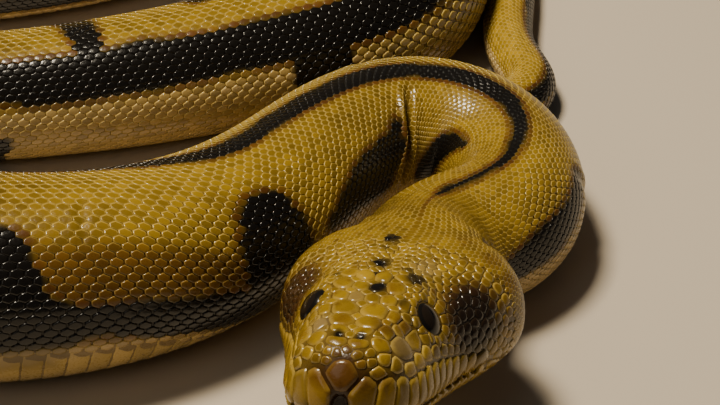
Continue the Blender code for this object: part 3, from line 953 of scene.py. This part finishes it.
def scale_mesh(name, chosen):
    """One joined mesh of the chosen scales."""
    s, phi, width = chosen.T[..., None]
    longer = stretch(s, phi)
    half_long = SCALE_SHAPE * width / 2 * np.clip(longer, LEAST_LONG, MOST_LONG) / np.maximum(longer, 0.05)
    half_long = np.minimum(half_long, SCALE_SHAPE * width * MOST_REACHED)
    grid_s = s + unit[:, 0] * half_long * FILL
    grid_phi = phi + unit[:, 1] * (width / np.interp(s, lattice_s, lattice_radius)) * FILL
    points = surface(grid_s, grid_phi, SCALE_HEIGHT * width * SCALE_RISE)
    mesh = mesh_from_arrays(name, points.reshape(-1, 3), repeated(SCALE_TRIANGLES, len(unit), len(s)))
    marks_here = all_marks(s + COLOUR_SPREAD * (grid_s - s), phi + COLOUR_SPREAD * (grid_phi - phi))
    set_colours(mesh, "marks", marks_here)
    set_colours(mesh, "grain", grain_of(SCALE_RIM, rng.uniform(0, 1, len(s))[:, None]))
    u = inset((s - s[0]) / (s[-1] - s[0]), 0.005) + PATCH * unit[:, 0]
    v = inset(phi / (2 * np.pi) + 0.5, 0.005) + PATCH * unit[:, 1]
    bake_map(mesh, np.stack([u, v], axis=-1).reshape(-1, 2))
    return mesh


print("longest stretch along the back:", stretch(body_rows[1:], 0.0).max().round(2))

# %% Make the scales, in pieces of body
PIECE_SCALES = 6600                       # keeps a piece under 200,000 triangles
places = places[np.argsort(places[:, 0], kind="stable")]
for number, chosen in enumerate(np.array_split(places, math.ceil(len(places) / PIECE_SCALES)), 1):
    mesh = scale_mesh(f"scales_{number:02d}", chosen)
    add_piece(mesh.name, mesh, scale_finish)
    print(mesh.name, len(mesh.polygons), "triangles")

# %% [markdown]
# ## The plates of the belly
# Under the body the scales give way to one row of wide plates, each reaching across the belly and
# overlapping the next. Each plate is a strip of points, carried to the surface like the scales.

# %% Make the belly's plates
PLATE_LONG = 1.45                         # a plate's length in scale lengths
PLATE_RISE, PLATE_BOW = 0.14, 0.35        # height, and how far its ends lie forward, in widths of a scale
# a plate has these places across it and along it, and for each place along it a height and a share of the
# painted highlight on its rim
plate_across = np.linspace(-1, 1, 9)[:, None]
plate_along = np.array([-0.5, -0.42, 0.42, 0.5])
plate_height = np.array([-0.5, 0.35, 0.85, 0.1])
plate_rim = np.array([1.0, 0.6, 0.3, 1.0])


def grid_triangles(rows, columns):
    """Two triangles for each square of a grid of points."""
    corner = np.arange(rows * columns).reshape(rows, columns)
    squares = np.stack([corner[:-1, :-1], corner[:-1, 1:], corner[1:, 1:], corner[1:, :-1]], axis=-1)
    squares = squares.reshape(-1, 4)
    return np.concatenate([squares[:, [0, 2, 1]], squares[:, [0, 3, 2]]])


def belly_plates(first, last):
    """One mesh of the belly's plates between two counts of scales along the body."""
    s = np.interp(np.arange(first, last, PLATE_LONG), along_count, lattice_s)[:, None, None]
    width = np.interp(s, lattice_s, row_width)
    half = np.pi - np.radians(belly_edge(s)) + 0.6 * width / np.interp(s, lattice_s, lattice_radius)
    grid_s = s + plate_along * np.gradient(s, axis=0) * FILL - PLATE_BOW * width * plate_across**2
    grid_phi = np.pi + plate_across * half
    height = plate_height * width * PLATE_RISE * (1 - 0.9 * np.abs(plate_across) ** 8)
    points = surface(grid_s, grid_phi, height)
    one_plate = grid_triangles(len(plate_across), len(plate_along))
    triangles = repeated(one_plate, len(plate_across) * len(plate_along), len(s))
    mesh = mesh_from_arrays("belly_plates", points.reshape(-1, 3), triangles)
    set_colours(mesh, "marks", all_marks(grid_s, (grid_phi + np.pi) % (2 * np.pi) - np.pi))
    shade = rng.uniform(0, 1, len(s))[:, None, None]
    set_colours(mesh, "grain", grain_of(plate_rim + 0 * plate_across, shade))
    u = inset(s / LENGTH, 0.005) + 2 * PATCH * plate_along
    v = 0.5 + PATCH * plate_across
    bake_map(mesh, np.stack(np.broadcast_arrays(u, v), axis=-1).reshape(-1, 2))
    return mesh


ends = np.interp([-30 * MM, LENGTH - 30 * MM], lattice_s, along_count)
plates = add_piece("belly_plates", belly_plates(*ends), scale_finish)
print(plates.name, len(plates.data.polygons), "triangles")

# %% [markdown]
# ## The shields of the head
# A python's head carries large paired shields on the snout, tall shields along both lips, a ring of
# small ones round each eye, and small uneven scales over the crown, the temples and the throat. The
# large ones are placed by a table. The small ones are thrown in at random where there is room and
# then pushed apart until they lie evenly. Each shield's outline is where it meets its neighbours.

# %% Sizes of the large shields
# on the crown: x beside the middle, behind the snout, half length, half width, rise, in mm. The first is
# the nostril, which is sunk
CROWN_SHIELDS = [
    (3.9, 11.8, 1.0, 2.3, -1.0), (4.0, 7.6, 2.8, 3.8, 0.6), (4.2, 15.8, 2.6, 4.0, 0.6),
    (4.9, 22.6, 4.2, 4.8, 1.1), (5.7, 31.6, 5.0, 5.4, 1.0), (2.9, 40.2, 3.2, 2.8, 0.6),
    (8.8, 40.8, 3.4, 3.2, 0.7), (3.1, 48.0, 3.8, 2.9, 0.6), (3.3, 56.4, 3.4, 3.1, 1.6),
    (9.8, 49.6, 4.6, 3.6, 0.9), (10.2, 59.0, 3.0, 3.2, 0.6), (12.4, 31.0, 4.2, 3.0, 0.7),
    (14.6, 40.6, 3.8, 2.8, 0.7),
]
# on the sides of the snout: x beside the middle, behind, height, half length, half width, rise
SIDE_SHIELDS = [
    (11.0, 11.4, 7.6, 3.4, 3.4, 0.7), (12.0, 20.0, 9.8, 4.0, 3.2, 0.7), (17.0, 19.5, 5.0, 5.0, 4.4, 0.9),
    (20.2, 30.0, 5.2, 4.4, 3.6, 0.7), (17.8, 30.0, 10.0, 3.4, 2.8, 0.6), (22.2, 38.4, 2.6, 2.8, 3.0, 0.5),
]
# along the lips, from the front: width and height of each
UPPER_LIP = [
    (8.8, 19.0), (8.2, 18.0), (7.4, 17.0), (6.8, 16.5), (6.4, 16.0), (6.2, 16.0), (6.2, 15.5), (6.2, 15.0),
    (6.2, 13.6), (6.2, 12.0), (6.4, 10.6), (6.4, 9.6), (6.4, 8.8),
]
LOWER_LIP = [(5.2, 5.6)] * 17
# for each lip: up or down from the mouth, the first shield's start beside the middle of the snout, how
# far the shields reach past the mouth's line, and how much they lean back
LIPS = [(UPPER_LIP, 1, 4.8, 0.5, 0.45), (LOWER_LIP, -1, 2.6, 0.1, -0.2)]
LIP_RISE = 0.95
# in the middle of the snout, over the notch and under it: height, half length, half width, rise
MIDDLE_SHIELDS = [(-0.6, 6.0, 5.4, 0.55), (-20.5, 3.0, 2.6, 0.5)]
EYE_RING, EYE_RING_RADIUS = 13, 8.7       # small shields round each eye, and how far from its middle
EYE_SHIELD = (2.0, 2.1, 0.6)
print("large shields on each side:", sum(map(len, (CROWN_SHIELDS, SIDE_SHIELDS, UPPER_LIP, LOWER_LIP))))

# %% Helpers that find places on the head
BACKWARD, UPWARD = -HEAD_AXES[1], HEAD_AXES[2]
LIP_TURN = 26                             # mm: the lips go round a point this far behind the snout


def nearest(point):
    """The skin's nearest point, and the normal there."""
    hit, normal, _, _ = skin_tree.find_nearest(Vector(point))
    return np.array(hit), np.array(normal)


def along_skin(way, normal):
    """A direction laid flat on the skin, with length 1."""
    flat = way - normal * (way @ normal)
    return flat / max(np.linalg.norm(flat), 1e-6)


def to_head(points):
    """x to the right of the head's middle, distance behind the snout and height, in mm."""
    local = (points - joint) @ HEAD_AXES.T / MM
    behind = HEAD_MM - local[..., 1]
    return local[..., 0] - head_section(np.clip(behind, HEAD_FRONT, HEAD_MM))[0], behind, local[..., 2]


def lip_path(rise, side):
    """Points on the lip at a height above the mouth's line, from the snout's middle back, and distances."""
    round_front = [(math.radians(turn), LIP_TURN) for turn in range(0, 90, 2)]
    along_side = [(math.pi / 2, centre) for centre in range(LIP_TURN, 101)]
    found = []
    for turn, centre in round_front + along_side:
        behind = centre - LIP_TURN * math.cos(turn)
        swing, _, _, _, mouth, _ = head_section(max(behind, HEAD_FRONT))
        toward = side * math.sin(turn) * HEAD_AXES[0] - math.cos(turn) * BACKWARD
        place = skin_tree.ray_cast(Vector(head_world(swing, centre, mouth + rise)), Vector(toward))[0]
        if place is not None:
            found.append(np.array(place))
    steps = np.linalg.norm(np.diff(found, axis=0), axis=1)
    return np.array(found), np.concatenate([[0], np.cumsum(steps)]) / MM


print("a path along the upper lip:", lip_path(5.0, 1)[1][-1].round(1), "mm long")

# %% Place the large shields
seeds = []                                # place, normal, long way, half length, half width, rise


def add_seed(place, long_way, half_long, half_wide, rise):
    hit, normal = nearest(place)
    seeds.append((hit, normal, long_way, half_long * MM, half_wide * MM, rise * MM))


for side in (-1, 1):
    for x, behind, *sizes in CROWN_SHIELDS:
        start = head_world(side * x + head_section(behind)[0], behind, 60.0)
        add_seed(skin_tree.ray_cast(Vector(start), Vector(-UPWARD))[0], BACKWARD, *sizes)
    for x, behind, z, *sizes in SIDE_SHIELDS:
        add_seed(head_world(side * x + head_section(behind)[0], behind, z), BACKWARD, *sizes)
    for lip, sign, gone, past_mouth, lean_back in LIPS:
        for width, tall in lip:
            path, distance = lip_path(sign * (tall / 2 - past_mouth), side)
            at = [np.interp(gone + width / 2, distance, path[:, k]) for k in range(3)]
            long_way = UPWARD + lean_back * smoothstep(8, 30, gone) * BACKWARD
            add_seed(at, long_way, tall / 2, width / 2, LIP_RISE)
            gone += width
for z, *sizes in MIDDLE_SHIELDS:
    add_seed(head_world(head_section(HEAD_FRONT)[0], -1.0, z), UPWARD, *sizes)
eye_spots = [nearest(head_world(x + head_section(behind)[0], behind, z)) for x, behind, z in EYES]
for hit, normal in eye_spots:
    up = along_skin(UPWARD, normal)
    for turn in np.arange(EYE_RING) * 2 * np.pi / EYE_RING:
        way = np.cos(turn) * up + np.sin(turn) * np.cross(normal, up)
        add_seed(hit + EYE_RING_RADIUS * MM * way, way, *EYE_SHIELD)
print("large shields:", len(seeds))

# %% Ghosts, which keep room for the eyes and for the scales of the neck
EYE_ROOM, NECK_ROOM = 6.6 * MM, 1.75 * MM
BORDER = -29 * MM                         # the neck's scales in front of this count as neighbours
ghosts = [(hit, normal, BACKWARD, EYE_ROOM, EYE_ROOM) for hit, normal in eye_spots]
border = places[places[:, 0] < BORDER]
ghosts += [(point, UPWARD, BACKWARD, NECK_ROOM, NECK_ROOM) for point in surface(border[:, 0], border[:, 1])]
fixed = [seed[:5] for seed in seeds] + ghosts
taken = np.array([point for point, *_ in fixed])
taken_normal = np.array([normal for _, normal, *_ in fixed])
taken_long = np.array([along_skin(way, normal) for _, normal, way, *_ in fixed])
taken_size = np.array([sizes for _, _, _, *sizes in fixed])
print("ghosts:", len(ghosts))

# %% Where small scales may lie
THROW_STEP, THROW_TURNS = 0.9, 200        # mm between trial rows, and trials in each
# no small scales within these heights of the mouth in mm, where the lip shields are
LIP_ABOVE, LIP_BELOW = 7, 4.5
LIP_CORNER, CORNER_GAP = 84, 2.2          # mm behind the snout, from where the gap is narrower


def small_size(x, behind, z):
    """Half the distance between small scales in mm: coarser on the cheeks, the snout and the throat."""
    size = 1.62 + 0.35 * smoothstep(20, 30, np.abs(x)) + 0.35 * (1 - smoothstep(30, 60, behind))
    cheek = smoothstep(9, 13, np.abs(x)) * (1 - smoothstep(8, 12, z)) * (1 - smoothstep(40, 58, behind))
    return size + 0.35 * smoothstep(-8, -16, z) + 0.9 * cheek


trial_rows = np.arange(1.0, 95.5, THROW_STEP)
trial_turns = np.linspace(-np.pi, np.pi, THROW_TURNS, endpoint=False)
trial_behind, trial_phi = np.meshgrid(trial_rows, trial_turns, indexing="ij")
trial_behind = (trial_behind + rng.uniform(-0.4, 0.4, trial_behind.shape)).ravel()
trial_phi = (trial_phi + rng.uniform(-0.015, 0.015, trial_phi.shape)).ravel()
throw = surface((trial_behind - HEAD_MM) * MM, trial_phi)
throw_x, throw_behind, throw_z = to_head(throw)
throw_size = small_size(throw_x, throw_behind, throw_z) * MM
above_mouth = throw_z - head_section(np.clip(throw_behind, HEAD_FRONT, HEAD_MM))[4]
corner = (throw_behind > LIP_CORNER) & (np.abs(above_mouth) > CORNER_GAP)
free = (above_mouth > LIP_ABOVE) | (above_mouth < -LIP_BELOW) | corner
throw, throw_size = throw[free], throw_size[free]
print("places to try for small scales:", len(throw))

# %% Throw in the small scales
CLOSEST = 0.86                            # the least distance of two scales, to the sum of their reaches
THROW_NEAR = 14 * MM                      # scales farther off than this can't be in the way
SMALL_LONG, SMALL_WIDE = 1.12, 0.9        # a small scale's half length and half width, to its size


def reach_of(way, axis_long, normal, half_long, half_wide):
    """How far a shield would reach from its middle in the given directions."""
    wide = np.cross(normal, axis_long)
    along, across = np.sum(way * axis_long, axis=-1), np.sum(way * wide, axis=-1)
    return 1 / np.sqrt((along / half_long) ** 2 + (across / half_wide) ** 2 + 1e-12)


for k in rng.permutation(len(throw)):
    way = throw[k] - taken
    gap = np.linalg.norm(way, axis=1)
    near = gap < THROW_NEAR
    room = reach_of(way[near] / gap[near, None], taken_long[near], taken_normal[near], *taken_size[near].T)
    if (gap[near] > CLOSEST * (room + throw_size[k])).all():
        _, normal = nearest(throw[k])
        taken = np.vstack([taken, throw[k]])
        taken_normal = np.vstack([taken_normal, normal])
        taken_long = np.vstack([taken_long, along_skin(BACKWARD, normal)])
        taken_size = np.vstack([taken_size, (throw_size[k] * SMALL_LONG, throw_size[k] * SMALL_WIDE)])
print("shields and scales of the head:", len(taken) - len(ghosts))

# %% Push the small ones apart
PUSH_ROUNDS, PUSH_ROOM, PUSH_SHARE = 10, 1.06, 0.22
PUSH_NEAR = 16 * MM

for _ in range(PUSH_ROUNDS):
    way = taken[:, None] - taken[None]
    gap = np.linalg.norm(way, axis=-1) + 1e-9
    unit_way = way / gap[..., None]
    mine = reach_of(unit_way, taken_long[:, None], taken_normal[:, None], *taken_size.T[..., None])
    shove = np.clip(PUSH_ROOM * (mine + mine.T) - gap, 0, None) * (gap < PUSH_NEAR)
    moved = taken + PUSH_SHARE * np.sum(unit_way * shove[..., None], axis=1)
    for k in range(len(fixed), len(taken)):
        taken[k], taken_normal[k] = nearest(moved[k])
print("pushed:", len(taken) - len(fixed), "small scales, in", PUSH_ROUNDS, "rounds")

# %% The outline of a shield
SHARPNESS = 14                            # of the corners where three shields meet
MOST_REACH = 1.9                          # of an outline with no neighbour near, to the shield's own size
OUTLINE_NEAR = 22 * MM                    # neighbours farther off don't shape the outline


def shield_outline(k, ways):
    """Distances from the middle of shield k to its edge in the given directions."""
    own = (taken_long[k], taken_normal[k], *taken_size[k])
    way = taken - taken[k]
    gap = np.linalg.norm(way, axis=1)
    near = (gap < OUTLINE_NEAR) & (gap > 0.2 * MM)
    way, gap = way[near], gap[near]
    flat = way - taken_normal[k] * (way @ taken_normal[k])[:, None]
    flat /= np.linalg.norm(flat, axis=1)[:, None] + 1e-12
    mine = reach_of(flat, *own)
    theirs = reach_of(flat, taken_long[near], taken_normal[near], *taken_size[near].T)
    limit = gap * mine / (mine + theirs)
    facing = np.clip(ways @ flat.T, 1e-6, None) / limit
    edge = np.sum(facing**SHARPNESS, axis=1) ** (-1 / SHARPNESS)
    return np.minimum(edge, MOST_REACH * reach_of(ways, *own))


print("first shield: its rear edge", (shield_outline(0, taken_long[:1]) / MM).round(2), "mm from its middle")

# %% The rings of a shield
# the rings are the edge's foot, the edge's top and the shoulder, and a point in the middle closes them.
# for large shields and small ones: how far out each ring lies, to the outline
RING_REACH = {True: np.array([1.02, 0.92, 0.6]), False: np.array([0.99, 0.87, 0.55])}
RING_LIFT, MIDDLE_LIFT = (0.62, 0.95), 1.08     # heights of the upper two rings and the middle, to the rise
# how much painted highlight each ring gets
RING_RIM = np.array([1.0, 0.9, 0.0])
FOOT = -0.35 * MM                         # the edge's foot lies in the skin
SMALL_RISE = 0.22                         # a small scale's rise, to its size
TILT, LEVEL_FROM = 0.25, 6 * MM           # the rear stands up, except on shields with this half length


def shield_triangles(steps):
    """Triangles of two bands between three rings, and of a fan to the middle."""
    ring = np.arange(steps)
    beside = np.roll(ring, -1)
    bands = []
    for low, high in ((0, steps), (steps, 2 * steps)):
        bands.append(np.stack([low + ring, low + beside, high + beside], axis=-1))
        bands.append(np.stack([low + ring, high + beside, high + ring], axis=-1))
    fan = np.stack([2 * steps + ring, 2 * steps + beside, 0 * ring + 3 * steps], axis=-1)
    return np.vstack([*bands, fan])


def shield_points(k, large, turns):
    """The points of shield k, laid on the skin and lifted."""
    first, second = taken_long[k], np.cross(taken_normal[k], taken_long[k])
    ways = np.cos(turns)[:, None] * first + np.sin(turns)[:, None] * second
    edge = shield_outline(k, ways)
    flat = taken[k] + RING_REACH[large][:, None, None] * edge[:, None] * ways
    rise = seeds[k][5] if large else SMALL_RISE * taken_size[k].mean()
    level = large and seeds[k][3] >= LEVEL_FROM
    tilt = TILT * rise * (np.ones(len(turns)) if level else np.cos(turns))
    rings = [lift * rise + tilt for lift in RING_LIFT]
    lifts = np.concatenate([np.full(len(turns), FOOT), *rings, [MIDDLE_LIFT * rise]])
    made = []
    for point, lift in zip(np.vstack([flat.reshape(-1, 3), taken[k]]), lifts):
        hit, normal = nearest(point)
        made.append(hit + lift * normal)
    return np.array(made)


def shield_bake(k, large, turns):
    """Where the points of shield k lie on the map OFBake."""
    x, behind, z = to_head(taken[k])
    _, half, crown, widest, _, throat = head_section(np.clip(behind, HEAD_FRONT, HEAD_MM))
    round_place = np.arctan2(-x / half, (z - widest) / (crown - widest if z > widest else widest - throat))
    spot = inset(np.array([behind / HEAD_MM, round_place / (2 * np.pi) + 0.5]), 0.02)
    circle = np.stack([np.cos(turns), np.sin(turns)], axis=-1) * PATCH
    return np.vstack([spot + reach * circle for reach in RING_REACH[large]] + [spot])


print("a large shield has", len(shield_triangles(20)), "triangles, a small scale", len(shield_triangles(12)))

# %% Make the head's shields
# for large shields and small ones: points round it, how far marks cross it, and how strong the painted
# highlight on its rim is
SHIELD_DETAIL = {True: (20, 0.85, 0.35), False: (12, 0.4, 0.7)}

points, triangles, colour_values, grain_values, bake_places = [], [], [], [], []
count = 0
for k in [*range(len(seeds)), *range(len(fixed), len(taken))]:
    large = k < len(seeds)
    steps, spread, painted_highlight_share = SHIELD_DETAIL[large]
    turns = np.arange(steps) * 2 * np.pi / steps
    made = shield_points(k, large, turns)
    points.append(made)
    triangles.append(count + shield_triangles(steps))
    count += len(made)
    colour_values.append(head_marks(*to_head(taken[k] + spread * (made - taken[k]))))
    rim = np.append(np.repeat(RING_RIM, steps), 0.0) * painted_highlight_share
    grain_values.append(grain_of(rim, rng.uniform(0, 1)))
    bake_places.append(shield_bake(k, large, turns))
shields = mesh_from_arrays("head_shields", np.vstack(points), np.vstack(triangles))
set_colours(shields, "marks", np.vstack(colour_values))
set_colours(shields, "grain", np.vstack(grain_values))
bake_map(shields, np.vstack(bake_places))
add_piece("head_shields", shields, scale_finish)
print("head_shields", len(shields.polygons), "triangles")

# %% [markdown]
# ## Eyes
# A snake has no eyelids: a clear scale, the spectacle, covers the eye. The eye is a flattened ball
# set in the ring of small scales. Its dark iris, the darker rim round it and the upright slit of the
# pupil are drawn from a place stored on each point before the ball is set in the head.

# %% The eye's finish
# for a ball of radius 1: half height of the pupil, how many times narrower it is, radius of the iris
SLIT_TALL, SLIT_NARROW, IRIS = 0.5, 4.2, 0.66
PUPIL_BLACK = (0.001, 0.001, 0.001, 1)
IRIS_BROWN = (0.012, 0.008, 0.005, 1)
EYE_RIM = (0.006, 0.005, 0.004, 1)

eye_finish = bpy.data.materials.new("wet_eye")
eye_finish.use_nodes = True
eye_tree = eye_finish.node_tree
eye_place = eye_tree.nodes.new("ShaderNodeAttribute")
eye_place.attribute_name = "eye_place"
eye_split = eye_tree.nodes.new("ShaderNodeSeparateXYZ")
eye_tree.links.new(eye_place.outputs["Vector"], eye_split.inputs[0])
flat_x, flat_y = (math_node(eye_tree, "ABSOLUTE", eye_split.outputs[k]) for k in (0, 1))
slit = math_node(eye_tree, "ADD", math_node(eye_tree, "MULTIPLY", flat_x, SLIT_NARROW), flat_y)
pupil = math_node(eye_tree, "LESS_THAN", slit, SLIT_TALL)
squares = [math_node(eye_tree, "MULTIPLY", flat, flat) for flat in (flat_x, flat_y)]
from_middle = math_node(eye_tree, "SQRT", math_node(eye_tree, "ADD", *squares))
outside = math_node(eye_tree, "GREATER_THAN", from_middle, IRIS)
iris = mix_colour(eye_tree, pupil, IRIS_BROWN, PUPIL_BLACK)
eye_shader = eye_tree.nodes["Principled BSDF"].inputs
feed(eye_tree, [eye_shader["Base Color"]], [mix_colour(eye_tree, outside, iris, EYE_RIM)])
feed(eye_tree, (eye_shader["Roughness"], eye_shader["Specular IOR Level"]), (0.22, 0.2))
feed(eye_tree, (eye_shader["Coat Weight"], eye_shader["Coat Roughness"]), (0.4, 0.03))
print("material:", eye_finish.name)

# %% Make the eyes
EYE_WIDE, EYE_DEEP, EYE_SUNK = 7.8 * MM, 5.6 * MM, 2.6 * MM

for (hit, normal), name in zip(eye_spots, ("eye_left", "eye_right")):
    up = along_skin(UPWARD, normal)
    turned = Matrix(np.stack([np.cross(up, normal), up, normal], axis=1).tolist())
    ball = bmesh.new()
    bmesh.ops.create_uvsphere(ball, u_segments=48, v_segments=32, radius=1.0)
    layer = ball.verts.layers.float_vector.new("eye_place")
    for vert in ball.verts:
        vert[layer] = vert.co
    bmesh.ops.scale(ball, vec=(EYE_WIDE, EYE_WIDE, EYE_DEEP), verts=ball.verts)
    bmesh.ops.transform(ball, matrix=turned.to_4x4(), verts=ball.verts)
    bmesh.ops.translate(ball, vec=Vector(hit - normal * EYE_SUNK), verts=ball.verts)
    bmesh.ops.recalc_face_normals(ball, faces=ball.faces)
    eye_mesh = bpy.data.meshes.new(name + "_spectacle")
    ball.to_mesh(eye_mesh)
    ball.free()
    eye_mesh.shade_smooth()
    eye = add_piece(name + "_spectacle", eye_mesh, eye_finish)
    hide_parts(name)
    print(eye.name, len(eye_mesh.polygons), "faces")

# %% [markdown]
# ## Floor, light and camera
# The model lies on a plain pale floor. A small warm lamp nearly overhead gives the short shadows and
# the sparkle on the scales, a large weak one from the front left opens the shadows, and a faint
# bluish world light fills the rest. The camera looks down on the head from the front.

# %% The floor
FLOOR_COLOUR, FLOOR_HALF = (0.50, 0.43, 0.34, 1), 4.0
floor = bmesh.new()
bmesh.ops.create_grid(floor, x_segments=1, y_segments=1, size=FLOOR_HALF)
floor_mesh = bpy.data.meshes.new("floor")
floor.to_mesh(floor_mesh)
floor.free()
floor_finish = bpy.data.materials.new("pale_floor")
floor_finish.use_nodes = True
floor_shader = floor_finish.node_tree.nodes["Principled BSDF"].inputs
feed(floor_finish.node_tree, (floor_shader["Base Color"], floor_shader["Roughness"]), (FLOOR_COLOUR, 0.85))
floor_mesh.materials.append(floor_finish)
floor_piece = bpy.data.objects.new("floor", floor_mesh)
bpy.context.scene.collection.objects.link(floor_piece)
print("floor:", floor_finish.name)

# %% The lamps
LOOK = Vector((0.1952, -0.1882, 0.045))   # what the camera and the lamps point at
# name, place from LOOK, size in metres, power in watts, colour
LAMPS = [
    ("key", (-0.36, 0.14, 1.32), 0.34, 33, (1.0, 0.88, 0.68)),
    ("fill", (-0.9, -1.1, 1.3), 1.0, 3.5, (1.0, 0.93, 0.80)),
]
for name, place, size, power, colour in LAMPS:
    data = bpy.data.lights.new(name, "AREA")
    data.shape, data.size, data.energy, data.color = "SQUARE", size, power, colour
    lamp = bpy.data.objects.new(name, data)
    bpy.context.scene.collection.objects.link(lamp)
    lamp.location = LOOK + Vector(place)
    lamp.rotation_euler = (-Vector(place)).to_track_quat("-Z", "Y").to_euler()
world = bpy.data.worlds.new("studio")
bpy.context.scene.world = world
world.use_nodes = True
sky = world.node_tree.nodes["Background"].inputs
feed(world.node_tree, (sky["Color"], sky["Strength"]), ((0.85, 0.88, 0.92, 1), 0.05))
print("lamps:", len(LAMPS))

# %% The camera
CAMERA_UP, CAMERA_AWAY, CAMERA_LENS = math.radians(38), 1.2, 151.9     # above the floor, metres, mm

camera_data = bpy.data.cameras.new("camera")
camera_data.sensor_width = 36
camera_data.lens = CAMERA_LENS
camera_data.clip_start = 0.01
camera = bpy.data.objects.new("camera", camera_data)
bpy.context.scene.collection.objects.link(camera)
camera.location = LOOK + CAMERA_AWAY * Vector((0, -math.cos(CAMERA_UP), math.sin(CAMERA_UP)))
camera.rotation_euler = (math.radians(90) - CAMERA_UP, 0, 0)
bpy.context.scene.camera = camera
print("camera at", [round(v, 3) for v in camera.location])
